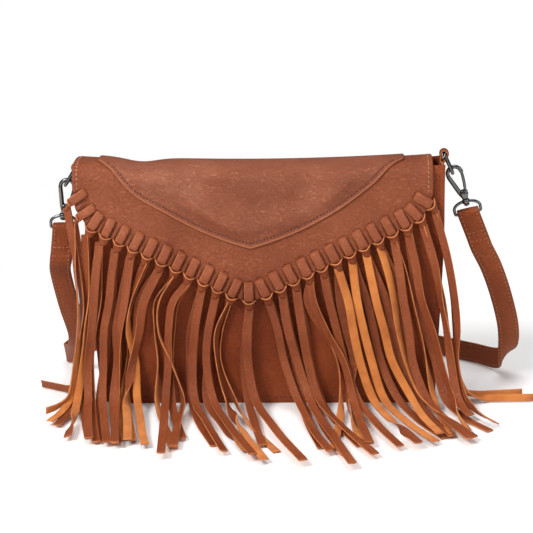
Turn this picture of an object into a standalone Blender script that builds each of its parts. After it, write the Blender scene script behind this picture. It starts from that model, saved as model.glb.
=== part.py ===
"""Fringed shoulder bag with a laced flap, in metres, +Z up, front face towards -Y.

The origin is the middle of the base, on the surface that the bag stands on.
"""

import math

import bmesh
import bpy
from mathutils import Matrix, Vector

# Gaps between pieces
SEAM_GAP = 0.0003
FLAT = 0.000001
PLAY = 0.0005

# Body of the bag
BODY_HEIGHT = 0.186
BASE_WIDTH = 0.266
TOP_WIDTH = 0.286
BASE_DEPTH = 0.060
MOUTH_DEPTH = 0.038
BODY_CORNER = 0.010
PANEL_WALL = 0.0020
PANEL_BULGE = 0.0020
GUSSET_WALL = 0.0018
GUSSET_INSET = 0.0008
LINING_WALL = 0.0008
LINING_DROP = 0.006
LINING_EASE = 0.0014

# Soft shape that the leather has taken
MOUTH_SAG = 0.0050
MOUTH_DIP = 0.0035
MOUTH_DIP_X = -0.098
MOUTH_DIP_REACH = 0.017
SAG_START = 0.120
FOLD_DEPTH = 0.0008
FOLD_PITCH = 0.070
FOLD_TOP = 0.150
DENT_DEPTH = 0.0014
DENTS = ((-0.052, 0.172, 0.022), (0.028, 0.176, 0.024), (0.070, 0.184, 0.020))

# Flap
FLAP_CENTRE_X = -0.0088
FLAP_REVEAL = 0.0030
FLAP_WIDTH = TOP_WIDTH - 2.0 * FLAP_REVEAL
FLAP_TIP_X = -0.0123
FLAP_TIP_HEIGHT = 0.0850
FLAP_EDGE_SLOPE = math.radians(26.3)
FLAP_CORNER = 0.032
FLAP_TIP_ROUND = 0.012
FLAP_WALL = 0.0015
FLAP_CREST = 0.0078
LACE_ROOM = 0.0038
YOKE_WALL = 0.0015
YOKE_APEX_X = -0.0105
YOKE_APEX_HEIGHT = 0.1284
YOKE_SLOPE = 0.27
YOKE_CURVE = 2.9
YOKE_REACH = 0.120
FLAP_LINING_WALL = 0.0006
FLAP_LINING_INSET = 0.0175
HINGE_STANDOFF = 0.0012
FLAP_COLUMNS = 20
FLAP_CREST_ROWS = 6
FLAP_FRONT_ROWS = 6
FLAP_SPARE = 0.004

# Laces
STRIP_WIDTH = 0.0062
STRIP_WALL = 0.0012
LACE_COUNT = 27
LACE_SPACING = 0.0434
LACE_PITCH = LACE_SPACING * FLAP_WIDTH
LACE_TIP_ROOM = 0.0030
LACE_END_ROOM = 0.0010
SLOT_INSET = 0.0118
SLOT_LENGTH = 0.0074
SLOT_WIDTH = 0.0032
BAND_WIDTH = 0.0068
BAND_WALL = 0.0022
BAND_TILT_MOST = math.radians(56)
BAND_SLACK = 0.0006
COLLAR_TOP = (0.0056, 0.0034)
COLLAR_FOOT = (0.0032, 0.0020)
COLLAR_HEIGHT = 0.0075
TAIL_LENGTH = 0.196
LANE_PITCH = 0.0022
LANE_RISE = 0.0018
LANE_BEND = 0.034
LANE_CLEAR = 0.0026
LANE_SETTLE = 0.030
LANE_STEPS = 16

# Where each tail hangs at knee height and where it ends, in millimetres to the right
# of the bag's middle, from the left edge of the flap to the right one
TAIL_SPREAD = (
    ((-159, -176), (-156, -182)),
    ((-144, -168), (-141, -162)),
    ((-136, -148), (-132, -156)),
    ((-127, -132), (-123, -141)),
    ((-122, -124), (-118, -116)),
    ((-110, -109), (-107, -104)),
    ((-100, -98), (-94, -87)),
    ((-88, -92), (-82, -74)),
    ((-72, -80), (-69, -62)),
    ((-58, -62), (-62, -54)),
    ((-54, -40), (-50, -27)),
    ((-45, -16), (-42, -10)),
    ((-34, -4), (-30, 4)),
    ((-16, 12), (-13, 31)),
    ((9, 40), (12, 52)),
    ((18, 55), (21, 64)),
    ((29, 70), (33, 84)),
    ((44, 80), (49, 70)),
    ((53, 92), (58, 103)),
    ((64, 104), (68, 112)),
    ((73, 116), (77, 121)),
    ((84, 124), (90, 130)),
    ((99, 138), (105, 141)),
    ((112, 146), (118, 155)),
    ((126, 158), (132, 166)),
    ((138, 169), (142, 178)),
    ((146, 190), (150, 200)),
)

# Tabs and rings
TAB_WIDTH = 0.0085
TAB_WALL = 0.0018
TAB_TAIL = 0.0050
RING_LENGTH = 0.0190
RING_WIDTH = 0.0168
RING_CORNER = 0.0024
RING_WIRE = 0.0014

# Snap hooks: an eye with a straight back, a sprung gate and a swivel stem
HOOK_EYE = 0.0054
HOOK_WIRE = 0.0016
HOOK_BACK = 0.0019
HOOK_LENGTH = 0.0220
GATE_WIRE = 0.0011
GATE_PIN = 0.0006
GATE_PIN_DROP = 0.0165
GATE_PIN_OUT = 0.0026
GATE_BOSS = 0.0018
GATE_WALL = 0.0020
CHEEK_WALL = 0.0008
STEM_RADIUS = 0.0013
STEM_HEAD = 0.0023
STEM_HEAD_LENGTH = 0.0020
SWIVEL_COLLAR = 0.0031
SWIVEL_COLLAR_LENGTH = 0.0030

# Swivel loops
LOOP_HEIGHT = 0.0096
LOOP_WIRE = 0.0012
LOOP_SIDE = 0.0040

# Strap
STRAP_WIDTH = 0.0172
STRAP_WALL = 0.0024
STRAP_TURNED = 0.030

# Each side's own lie: where the tab's eye stands above the corner of the mouth, and how far
# the ring, the hook and the strap's end lean from straight down, positive to the right
RIGHT = {
    "side": 1.0,
    "name": "right",
    "eye_out": -0.0024,
    "eye_up": 0.0096,
    "ring_lean": math.radians(24),
    "hook_lean": math.radians(22),
    "loop_lean": math.radians(13),
}
LEFT = {
    "side": -1.0,
    "name": "left",
    "eye_out": 0.0060,
    "eye_up": 0.0018,
    "ring_lean": math.radians(-32),
    "hook_lean": math.radians(-11),
    "loop_lean": math.radians(0),
}

# The strap's way from the right loop to the left one: a point, as shares of the bag's top
# width, base depth and height, and the direction of the strap's width there
STRAP_WAY = (
    ((0.5937, 0.0083, 0.6796), (1.0, 0.0, 0.2)),
    ((0.6280, 0.0667, 0.5441), (1.0, 0.0, 0.3)),
    ((0.6591, 0.1833, 0.4022), (1.0, 0.0, 0.2)),
    ((0.6825, 0.3333, 0.2473), (1.0, 0.0, 0.2)),
    ((0.6836, 0.5167, 0.1237), (0.75, 0.0, 0.65)),
    ((0.6608, 0.7667, 0.0618), (0.25, 0.0, 1.0)),
    ((0.5944, 1.1333, 0.0495), (0.0, 0.0, 1.0)),
    ((0.4545, 1.5833, 0.0495), (0.0, 0.0, 1.0)),
    ((0.2448, 1.9000, 0.0495), (0.0, 0.0, 1.0)),
    ((0.0000, 2.0167, 0.0495), (0.0, 0.0, 1.0)),
    ((-0.2448, 2.0167, 0.0495), (0.0, 0.0, 1.0)),
    ((-0.4720, 1.8833, 0.0495), (0.0, 0.0, 1.0)),
    ((-0.5944, 1.5833, 0.0495), (0.0, 0.0, 1.0)),
    ((-0.6224, 1.2000, 0.0527), (-0.1, 0.0, 1.0)),
    ((-0.5839, 0.8333, 0.0914), (-0.6, 0.0, 0.8)),
    ((-0.5612, 0.5500, 0.1989), (-0.9, 0.0, 0.3)),
    ((-0.5734, 0.3000, 0.3656), (-1.0, 0.0, 0.0)),
    ((-0.5839, 0.1000, 0.5269), (-1.0, 0.0, 0.0)),
    ((-0.5787, 0.0250, 0.6452), (-1.0, 0.0, 0.0)),
)

# Magnetic snap
SNAP_RADIUS = 0.0080
SNAP_SOCKET_WALL = 0.0011
SNAP_STUD_WALL = 0.0009
SNAP_HEIGHT = 0.118

# Direction that the front faces
ACROSS = Vector((0.0, -1.0, 0.0))


def clear_scene():
    for item in list(bpy.data.objects):
        bpy.data.objects.remove(item, do_unlink=True)


def finish(name, colour, roughness, metallic=0.0):
    material = bpy.data.materials.new(name)
    material.use_nodes = True
    shader = material.node_tree.nodes["Principled BSDF"]
    shader.inputs["Base Color"].default_value = (*colour, 1.0)
    shader.inputs["Roughness"].default_value = roughness
    shader.inputs["Metallic"].default_value = metallic
    return material


def body_leather():
    return finish("body_leather", (0.18, 0.045, 0.016), 0.55)


def flap_leather():
    return finish("flap_leather", (0.33, 0.098, 0.048), 0.50)


def strip_leather():
    return finish("strip_leather", (0.30, 0.085, 0.035), 0.60)


def strap_leather():
    return finish("strap_leather", (0.24, 0.065, 0.026), 0.50)


def lining_cloth():
    return finish("lining_cloth", (0.16, 0.12, 0.09), 0.90)


def gunmetal():
    return finish("gunmetal", (0.10, 0.10, 0.10), 0.28, 1.0)


def snap_metal():
    return finish("snap_metal", (0.45, 0.38, 0.26), 0.35, 1.0)


def add_object(name, bm, material, smooth_angle=40.0):
    bmesh.ops.recalc_face_normals(bm, faces=bm.faces)
    mesh = bpy.data.meshes.new(name)
    bm.to_mesh(mesh)
    bm.free()
    if smooth_angle:
        mesh.shade_smooth()
        mesh.set_sharp_from_angle(angle=math.radians(smooth_angle))
    item = bpy.data.objects.new(name, mesh)
    item.data.materials.append(material)
    bpy.context.collection.objects.link(item)
    return item


def combine(item, other, operation):
    """Leave item as the union or the difference of the two objects."""
    modifier = item.modifiers.new(operation.lower(), "BOOLEAN")
    modifier.object = other
    modifier.operation = operation
    modifier.solver = "EXACT"
    graph = bpy.context.evaluated_depsgraph_get()
    mesh = bpy.data.meshes.new_from_object(item.evaluated_get(graph))
    old_mesh = item.data
    item.modifiers.remove(modifier)
    item.data = mesh
    mesh.name = item.name
    bpy.data.meshes.remove(old_mesh)
    bpy.data.objects.remove(other, do_unlink=True)
    return item


def set_origin(item, point):
    item.data.transform(Matrix.Translation(-point))
    item.location = point


def smooth_step(value):
    value = min(1.0, max(0.0, value))
    return value * value * (3.0 - 2.0 * value)


def bump(distance, reach):
    return math.exp(-((distance / reach) ** 2))


def curve_through(points, steps):
    """Points of a smooth curve through the given ones, steps to a span."""
    line = []
    last = len(points) - 1
    for index in range(last):
        before = points[max(index - 1, 0)]
        start = points[index]
        end = points[index + 1]
        after = points[min(index + 2, last)]
        for step in range(steps):
            t = step / steps
            line.append(
                0.5
                * (
                    2.0 * start
                    + (end - before) * t
                    + (2.0 * before - 5.0 * start + 4.0 * end - after) * t * t
                    + (3.0 * start - before - 3.0 * end + after) * t**3
                )
            )
    line.append(points[-1].copy())
    return line


def lengths_along(line):
    lengths = [0.0]
    for first, second in zip(line, line[1:]):
        lengths.append(lengths[-1] + (second - first).length)
    return lengths


def point_at(line, lengths, distance):
    distance = min(max(distance, 0.0), lengths[-1])
    for index in range(1, len(line)):
        if lengths[index] >= distance:
            span = lengths[index] - lengths[index - 1]
            share = (distance - lengths[index - 1]) / span if span > 0.0 else 0.0
            return line[index - 1].lerp(line[index], share)
    return line[-1].copy()


def spaced(line, count):
    lengths = lengths_along(line)
    return [point_at(line, lengths, lengths[-1] * index / (count - 1)) for index in range(count)]


def half_depth(height):
    share = min(max(height / BODY_HEIGHT, 0.0), 1.1)
    return (BASE_DEPTH + (MOUTH_DEPTH - BASE_DEPTH) * share * share) / 2.0


def half_width(height):
    return (BASE_WIDTH + (TOP_WIDTH - BASE_WIDTH) * height / BODY_HEIGHT) / 2.0


def panel_bulge(x, height):
    across = max(0.0, 1.0 - (x / half_width(height)) ** 2)
    share = min(max(height / BODY_HEIGHT, 0.0), 1.0)
    return PANEL_BULGE * across * 4.0 * share * (1.0 - share)


def front_line(x, height):
    """How far the outside of the front panel stands in front of the middle."""
    return half_depth(height) + panel_bulge(x, height)


def slouch(point):
    """The sag of the mouth and the soft folds that every layer of leather shares."""
    x, y, z = point
    sag = MOUTH_SAG * max(0.0, 1.0 - (2.0 * x / TOP_WIDTH) ** 2)
    sag += MOUTH_DIP * bump(x - MOUTH_DIP_X, MOUTH_DIP_REACH)
    lowered = z - sag * smooth_step((z - SAG_START) / (BODY_HEIGHT - SAG_START))
    at_front = smooth_step(-y / (MOUTH_DEPTH / 2.0))
    edge = smooth_step((half_width(z) - abs(x)) / (TOP_WIDTH / 8.0))
    foot = smooth_step(z / (BODY_HEIGHT / 5.0)) * smooth_step((FOLD_TOP - z) / (FOLD_TOP / 3.0))
    push = FOLD_DEPTH * math.sin(2.0 * math.pi * x / FOLD_PITCH) * edge * foot
    for dent_x, dent_z, reach in DENTS:
        push += DENT_DEPTH * bump(x - dent_x, reach) * bump(z - dent_z, reach)
    return Vector((x, y + push * at_front, lowered))


def sheet_solid(name, outer, inner, material):
    """A closed sheet between two grids of points with the same rows and columns."""
    bm = bmesh.new()
    rows = len(outer)
    columns = len(outer[0])
    sides = []
    for grid in (outer, inner):
        sides.append([[bm.verts.new(point) for point in row] for row in grid])
    for row in range(rows - 1):
        for column in range(columns - 1):
            for side in sides:
                corner = side[row][column]
                far_corner = side[row + 1][column + 1]
                bm.faces.new((corner, side[row][column + 1], far_corner))
                bm.faces.new((corner, far_corner, side[row + 1][column]))
    rim = [(0, column) for column in range(columns)]
    rim += [(row, columns - 1) for row in range(1, rows)]
    rim += [(rows - 1, column) for column in range(columns - 2, -1, -1)]
    rim += [(row, 0) for row in range(rows - 2, 0, -1)]
    for index, (row, column) in enumerate(rim):
        next_row, next_column = rim[(index + 1) % len(rim)]
        bm.faces.new(
            (
                sides[0][row][column],
                sides[0][next_row][next_column],
                sides[1][next_row][next_column],
                sides[1][row][column],
            )
        )
    return add_object(name, bm, material)


def panel_half_width(height, inset=0.0):
    """Half the panel's width, with its lower corners rounded."""
    radius = BODY_CORNER - inset
    lift = height - inset
    width = half_width(height) - inset
    if lift < radius:
        width -= radius - math.sqrt(max(0.0, radius * radius - (radius - lift) ** 2))
    return width


def panel_heights(rows, inset=0.0):
    """Heights of a panel's rows, closer together round the lower corners."""
    low = [inset, inset + BODY_CORNER * 0.3, inset + BODY_CORNER]
    steps = rows - len(low)
    rise = (BODY_HEIGHT - low[-1]) / steps
    return low + [low[-1] + rise * (index + 1) for index in range(steps)]


def side_panel(name, side, columns, rows):
    outer = []
    inner = []
    for height in panel_heights(rows):
        width = panel_half_width(height)
        outer_row = []
        inner_row = []
        for column in range(columns):
            x = width * (2.0 * column / (columns - 1) - 1.0)
            reach = front_line(x, height)
            outer_row.append(slouch((x, side * reach, height)))
            inner_row.append(slouch((x, side * (reach - PANEL_WALL), height)))
        outer.append(outer_row)
        inner.append(inner_row)
    return sheet_solid(name, outer, inner, body_leather())


def wall_route(inset, top, corner_steps):
    """Outline of the gusset seen from the front, from the left mouth to the right one.

    The sides lie inside the panels' edges, and the base is level with them.
    """
    radius = BODY_CORNER - inset
    base = inset - GUSSET_INSET
    heights = [top - (top - BODY_CORNER) * index / 6 for index in range(7)]
    side = [(half_width(height) - inset, height) for height in heights]
    centre_x = half_width(BODY_CORNER) - inset - radius
    corner = []
    for index in range(1, corner_steps):
        turn = 0.5 * math.pi * index / corner_steps
        x = centre_x + radius * math.cos(turn)
        corner.append((x, BODY_CORNER - (BODY_CORNER - base) * math.sin(turn)))
    foot = [(centre_x, base), (centre_x / 3.0, base)]
    right = side + corner + foot
    left = [(-x, height) for x, height in right]
    return left + right[::-1]


def trough(name, inset, wall, depth_inset, top, material):
    """A strip that runs down one side, under the base and up the other side."""
    outer = []
    inner = []
    outside = wall_route(inset, top, 3)
    inside = wall_route(inset + wall, top, 3)
    for (x, z), (inner_x, inner_z) in zip(outside, inside):
        outer_row = []
        inner_row = []
        for share in (-1.0, -0.5, 0.0, 0.5, 1.0):
            y = share * (half_depth(z) - depth_inset)
            inner_y = share * (half_depth(inner_z) - depth_inset)
            outer_row.append(slouch((x, y, z)))
            inner_row.append(slouch((inner_x, inner_y, inner_z)))
        outer.append(outer_row)
        inner.append(inner_row)
    return sheet_solid(name, outer, inner, material)


def gusset():
    piece = trough(
        "gusset",
        GUSSET_INSET,
        GUSSET_WALL,
        PANEL_WALL + SEAM_GAP,
        BODY_HEIGHT,
        body_leather(),
    )
    bm = bmesh.new()
    bm.from_mesh(piece.data)
    base = [face for face in bm.faces if all(abs(vert.co.z) < FLAT for vert in face.verts)]
    bmesh.ops.dissolve_faces(bm, faces=base, use_verts=True)
    bm.to_mesh(piece.data)
    bm.free()
    return piece


def lining():
    """An open cloth bag: outside and inside skins of rings of points, joined at the rim."""
    inset = GUSSET_INSET + GUSSET_WALL + SEAM_GAP
    depth_inset = PANEL_WALL + LINING_EASE
    top = BODY_HEIGHT - LINING_DROP
    bm = bmesh.new()
    skins = []
    for wall in (0.0, LINING_WALL):
        rings = []
        floor = inset + wall
        for share in (0.0, 0.05, 0.3, 0.6, 0.85, 1.0):
            height = floor + (top - floor) * share
            width = panel_half_width(height, inset) - wall
            ring = []
            for side in (-1.0, 1.0):
                for column in range(-3, 4):
                    x = -side * width * column / 3.0
                    reach = front_line(x, height) - depth_inset - wall
                    ring.append(slouch((x, side * reach, height)))
            rings.append([bm.verts.new(point) for point in ring])
        skins.append(rings)
    for rings in skins:
        for lower, upper in zip(rings, rings[1:]):
            count = len(lower)
            for index in range(count):
                following = (index + 1) % count
                bm.faces.new((lower[index], lower[following], upper[following], upper[index]))
    count = len(skins[0][-1])
    for index in range(count):
        following = (index + 1) % count
        bm.faces.new(
            (
                skins[0][-1][index],
                skins[0][-1][following],
                skins[1][-1][following],
                skins[1][-1][index],
            )
        )
    for rings in skins:
        ring = rings[0]
        half = count // 2
        for index in range(half - 1):
            bm.faces.new(
                (ring[index], ring[index + 1], ring[count - 2 - index], ring[count - 1 - index])
            )
    return add_object("lining", bm, lining_cloth())


def hinge_line():
    """Depth and height of the line that the flap turns about, behind the back panel's top."""
    y = half_depth(BODY_HEIGHT) + HINGE_STANDOFF
    return y, BODY_HEIGHT + HINGE_STANDOFF


def flap_profile():
    """The flap's inside face from the hinge forwards over the mouth and down the front."""
    hinge_y, hinge_z = hinge_line()
    front = half_depth(BODY_HEIGHT) + LACE_ROOM
    crest = BODY_HEIGHT + FLAP_CREST
    points = [
        Vector((hinge_y, hinge_z)),
        Vector((hinge_y * 0.62, (hinge_z + 3.0 * crest) / 4.0)),
        Vector((0.0, crest)),
        Vector((-front * 0.62, crest - 0.12 * FLAP_CREST)),
        Vector((-front * 0.96, BODY_HEIGHT + 0.25 * FLAP_CREST)),
    ]
    rows = 7
    low = FLAP_TIP_HEIGHT * 0.8
    high = BODY_HEIGHT - FLAP_CREST
    for row in range(rows):
        height = high + (low - high) * row / (rows - 1)
        points.append(Vector((-(half_depth(height) + LACE_ROOM), height)))
    return curve_through(points, 6)


FLAP_LINE = flap_profile()
FLAP_LENGTHS = lengths_along(FLAP_LINE)
# Heights along the leather are counted up from the floor, so they are true heights low down
FLAP_REACH = FLAP_LENGTHS[-1] + FLAP_TIP_HEIGHT * 0.8


def flap_point(x, climb, lift):
    """A point of the flap: x across, climb along the leather, lift off its inside face."""
    distance = FLAP_REACH - climb
    step = 0.0015
    here = point_at(FLAP_LINE, FLAP_LENGTHS, distance)
    ahead = point_at(FLAP_LINE, FLAP_LENGTHS, distance + step)
    behind = point_at(FLAP_LINE, FLAP_LENGTHS, distance - step)
    along = (ahead - behind).normalized()
    outward = Vector((along.y, -along.x))
    if outward.y < 0.0 and outward.x > 0.0:
        outward = -outward
    spot = here + outward * lift
    spread = panel_bulge(x, min(climb, BODY_HEIGHT))
    return slouch((x, spot.x - spread, spot.y))


def flap_half(side):
    """Width from the flap's tip to one of its side edges."""
    return FLAP_WIDTH / 2.0 + side * (FLAP_CENTRE_X - FLAP_TIP_X)


def flap_edge(side, distance, inset=0.0):
    """Point and outward direction of the V-shaped edge, at a distance from its tip."""
    slope = FLAP_EDGE_SLOPE
    reach = flap_half(side) - inset
    tip_height = FLAP_TIP_HEIGHT + inset / math.cos(slope)
    radius = FLAP_CORNER - inset
    turn = math.pi / 2.0 - slope
    tangent = radius * math.tan(turn / 2.0)
    straight = reach / math.cos(slope) - tangent
    if distance <= straight:
        x = distance * math.cos(slope)
        height = tip_height + distance * math.sin(slope)
        angle = slope
    else:
        start_x = straight * math.cos(slope)
        start_height = tip_height + straight * math.sin(slope)
        bend = min((distance - straight) / radius, turn)
        angle = slope + bend
        x = start_x + radius * (math.sin(angle) - math.sin(slope))
        height = start_height + radius * (math.cos(slope) - math.cos(angle))
        height += max(0.0, distance - straight - radius * turn)
    outward = Vector((side * math.sin(angle), -math.cos(angle)))
    return Vector((FLAP_TIP_X + side * x, height)), outward


def flap_edge_height(x, inset=0.0):
    """Height of the flap's lower edge at x, with the tip rounded off."""
    side = 1.0 if x >= FLAP_TIP_X else -1.0
    across = abs(x - FLAP_TIP_X)
    slope = FLAP_EDGE_SLOPE
    reach = flap_half(side) - inset
    radius = FLAP_CORNER - inset
    tip_height = FLAP_TIP_HEIGHT + inset / math.cos(slope)
    arc_start = reach - radius * (1.0 - math.sin(slope))
    if across <= arc_start:
        height = tip_height + across * math.tan(slope)
    else:
        corner = math.asin(min(1.0, (across - reach + radius) / radius))
        start = tip_height + arc_start * math.tan(slope)
        height = start + radius * (math.cos(slope) - math.cos(corner))
    half_round = FLAP_TIP_ROUND
    if across < half_round:
        height += math.tan(slope) * (half_round - across) ** 2 / (2.0 * half_round)
    return height


def flap_sheet(name, first_row, outline, lift, wall, material):
    """One layer of the flap, on the grid that all its layers share, cut to an outline."""
    left = FLAP_TIP_X - flap_half(-1.0) - FLAP_SPARE
    width = FLAP_WIDTH + 2.0 * FLAP_SPARE
    fall = BODY_HEIGHT - FLAP_CREST
    low = FLAP_TIP_HEIGHT - FLAP_SPARE
    top = FLAP_REACH - SEAM_GAP
    climbs = [top + (fall - top) * row / FLAP_CREST_ROWS for row in range(FLAP_CREST_ROWS)]
    climbs += [fall + (low - fall) * row / FLAP_FRONT_ROWS for row in range(FLAP_FRONT_ROWS + 1)]
    places = [left + width * column / FLAP_COLUMNS for column in range(FLAP_COLUMNS + 1)]
    outer = []
    inner = []
    for climb in climbs[first_row:]:
        outer.append([flap_point(x, climb, lift + wall) for x in places])
        inner.append([flap_point(x, climb, lift) for x in places])
    sheet = sheet_solid(name, outer, inner, material)
    reach = Vector((0.0, BASE_DEPTH, 0.0))
    bm = bmesh.new()
    near = [bm.verts.new(Vector((x, 0.0, z)) - reach) for x, z in outline]
    far = [bm.verts.new(Vector((x, 0.0, z)) + reach) for x, z in outline]
    bm.faces.new(near)
    bm.faces.new(far)
    for index in range(len(outline)):
        following = (index + 1) % len(outline)
        bm.faces.new((near[index], near[following], far[following], far[index]))
    cutter = add_object("outline_cutter", bm, material, 0.0)
    return combine(sheet, cutter, "INTERSECT")


def lower_edge(height_at, left, right, steps):
    """Outline of a flap layer: its lower edge by height_at, its sides straight up."""
    above = BODY_HEIGHT * 1.3
    places = [left + (right - left) * (1.0 - math.cos(math.pi * i / steps)) / 2.0 for i in range(steps)]
    places = [x for x in places if abs(x - FLAP_TIP_X) > FLAP_TIP_ROUND]
    places += [FLAP_TIP_X + FLAP_TIP_ROUND * share for share in (-1.0, -0.4, 0.0, 0.4, 1.0)]
    places = sorted(places) + [right]
    edge = [(x, height_at(x)) for x in places]
    return [(left, above)] + edge + [(right, above)]


def yoke_edge_height(x):
    across = abs(x - YOKE_APEX_X)
    return YOKE_APEX_HEIGHT + YOKE_SLOPE * across + YOKE_CURVE * across * across


def flap_border():
    left = FLAP_TIP_X - flap_half(-1.0)
    right = FLAP_TIP_X + flap_half(1.0)
    outline = lower_edge(flap_edge_height, left, right, 24)
    border = flap_sheet("flap_border", 0, outline, 0.0, FLAP_WALL, flap_leather())
    for number in range(LACE_COUNT):
        cutter = bmesh.new()
        size = Vector((SLOT_LENGTH, SLOT_WIDTH, FLAP_WALL * 6.0))
        place = lace_frame(number) @ Matrix.Translation((0.0, SLOT_INSET, 0.0))
        bmesh.ops.create_cube(cutter, size=1.0, matrix=place @ Matrix.Diagonal((*size, 1.0)))
        slot = add_object("slot_cutter", cutter, flap_leather(), 0.0)
        border = combine(border, slot, "DIFFERENCE")
    return border


def flap_yoke():
    left = YOKE_APEX_X - YOKE_REACH
    right = YOKE_APEX_X + YOKE_REACH
    outline = [(left, BODY_HEIGHT * 1.3)]
    steps = 12
    for index in range(steps + 1):
        x = left + 2.0 * YOKE_REACH * index / steps
        outline.append((x, yoke_edge_height(x)))
    outline.append((right, BODY_HEIGHT * 1.3))
    lift = FLAP_WALL + SEAM_GAP
    return flap_sheet("flap_yoke", 0, outline, lift, YOKE_WALL, flap_leather())


def flap_lining():
    def height_at(x):
        return flap_edge_height(x, FLAP_LINING_INSET)

    left = FLAP_TIP_X - flap_half(-1.0) + FLAP_LINING_INSET
    right = FLAP_TIP_X + flap_half(1.0) - FLAP_LINING_INSET
    outline = lower_edge(height_at, left, right, 14)
    lift = -FLAP_LINING_WALL - SEAM_GAP
    return flap_sheet("flap_lining", 1, outline, lift, FLAP_LINING_WALL, lining_cloth())


def lace_frame(number):
    """Axes at a lace: x along the flap's edge, y up the leather, z out of it.

    The origin lies on the edge, halfway through the flap's wall.
    """
    middle = LACE_COUNT // 2
    side = -1.0 if number < middle else 1.0
    distance = abs(number - middle) * LACE_PITCH + LACE_TIP_ROOM
    if number in (0, LACE_COUNT - 1):
        distance += LACE_END_ROOM
    spot, outward = flap_edge(side, distance)
    if number == middle:
        outward = Vector((0.0, -1.0))
        spot = Vector((FLAP_TIP_X, flap_edge_height(FLAP_TIP_X)))
    tilt = math.atan2(outward.x, -outward.y)
    steepest = tilt
    tilt = max(-BAND_TILT_MOST, min(BAND_TILT_MOST, tilt))
    spot += outward * (BAND_WIDTH / 2.0 * abs(math.sin(steepest - tilt)))
    lift = FLAP_WALL / 2.0
    up = Vector((-math.sin(tilt), math.cos(tilt))) * SLOT_INSET
    beside = Vector((up.y, -up.x)) * (BAND_WIDTH / SLOT_INSET / 2.0)
    middle_spot = spot + up / 2.0
    edge = flap_point(spot.x, spot.y, lift)
    above = flap_point(*(spot + up), lift)
    left = flap_point(*(middle_spot - beside), lift)
    right = flap_point(*(middle_spot + beside), lift)
    y_axis = (above - edge).normalized()
    z_axis = (right - left).cross(y_axis).normalized()
    x_axis = y_axis.cross(z_axis)
    frame = Matrix((x_axis, y_axis, z_axis)).transposed().to_4x4()
    frame.translation = edge
    return frame


def band_loop(number, frame, material):
    """The doubled strip that runs through the slot and round the flap's edge."""
    room = FLAP_WALL / 2.0 + BAND_SLACK
    slot_low = SLOT_INSET - SLOT_WIDTH / 2.0 + SEAM_GAP
    slot_high = SLOT_INSET + SLOT_WIDTH / 2.0 - SEAM_GAP
    below = -SEAM_GAP
    front = room + BAND_WALL
    back = -room - STRIP_WALL
    foot = below - BAND_WALL
    inner = [(slot_low, -room), (slot_low, room), (below, room), (below, -room)]
    outer = [
        (slot_high, back + 0.4 * STRIP_WALL),
        (slot_high, front - 0.6 * BAND_WALL),
        (slot_high - 0.35 * SLOT_WIDTH, front),
        (foot, front - 0.6 * BAND_WALL),
        (foot, back + 0.5 * STRIP_WALL),
        (slot_low, back),
    ]
    bm = bmesh.new()
    loops = []
    for line in (outer, inner):
        pair = []
        for x in (-BAND_WIDTH / 2.0, BAND_WIDTH / 2.0):
            pair.append([bm.verts.new(frame @ Vector((x, y, z))) for y, z in line])
        loops.append(pair)
    for left, right in loops:
        for index in range(len(left)):
            following = (index + 1) % len(left)
            bm.faces.new((left[index], left[following], right[following], right[index]))
    matched = ((0, 0), (1, 1), (2, 1), (3, 2), (4, 3), (5, 0))
    for side in (0, 1):
        outside = loops[0][side]
        inside = loops[1][side]
        for index, (first, first_in) in enumerate(matched):
            second, second_in = matched[(index + 1) % len(matched)]
            corners = [outside[first], outside[second], inside[second_in]]
            if first_in != second_in:
                corners.append(inside[first_in])
            bm.faces.new(corners)
    return add_object(f"lace_{number + 1:02d}", bm, material, 30.0)


def collar_axis(frame):
    """Way from the band's foot into the tails, between the leather's own lean and straight down."""
    top = frame @ Vector((0.0, -SEAM_GAP - BAND_WALL * 0.5, 0.0))
    lean = -(frame.to_3x3() @ Vector((0.0, 1.0, 0.0)))
    return top, (lean + Vector((0.0, 0.0, -1.0))).normalized() * COLLAR_HEIGHT


def collar(frame, material):
    """The bight of the strip, drawn in round the neck of the two tails."""
    top, drop = collar_axis(frame)
    turned = frame.to_3x3()
    level = Matrix(((1.0, 0.0, 0.0), (0.0, 0.0, -1.0), (0.0, 1.0, 0.0)))
    bm = bmesh.new()
    rings = []
    for share, (half_across, half_through) in ((0.0, COLLAR_TOP), (1.0, COLLAR_FOOT)):
        ring = []
        for index in range(6):
            angle = 2.0 * math.pi * (index + 0.5) / 6
            flat = Vector((half_across * math.cos(angle), 0.0, half_through * math.sin(angle)))
            offset = (turned @ flat).lerp(level @ flat, share)
            ring.append(bm.verts.new(top + drop * share + offset))
        rings.append(ring)
    for upper, lower in zip(rings, rings[1:]):
        for index in range(6):
            following = (index + 1) % 6
            bm.faces.new((upper[index], upper[following], lower[following], lower[index]))
    bm.faces.new(rings[0])
    bm.faces.new(rings[-1])
    return add_object("collar", bm, material, 30.0)


def lane_line(lane, top):
    """Depth and height along one lane: down the front of the bag, then forwards on the floor."""
    radius = LANE_BEND - lane * LANE_PITCH
    low = STRIP_WALL / 2.0 + PLAY + lane * LANE_RISE
    stand = LANE_CLEAR + lane * LANE_PITCH
    line = []
    foot = low + radius
    steps = LANE_STEPS
    for index in range(steps):
        height = top + (foot - top) * index / steps
        line.append(Vector((-(half_depth(height) + PANEL_BULGE + stand), height)))
    centre_y = -(half_depth(foot) + PANEL_BULGE + stand) - radius
    for index in range(steps):
        turn = 0.5 * math.pi * index / steps
        line.append(Vector((centre_y + radius * math.cos(turn), foot - radius * math.sin(turn))))
    line.append(Vector((centre_y, low)))
    line.append(Vector((centre_y - TAIL_LENGTH, low)))
    return line


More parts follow.
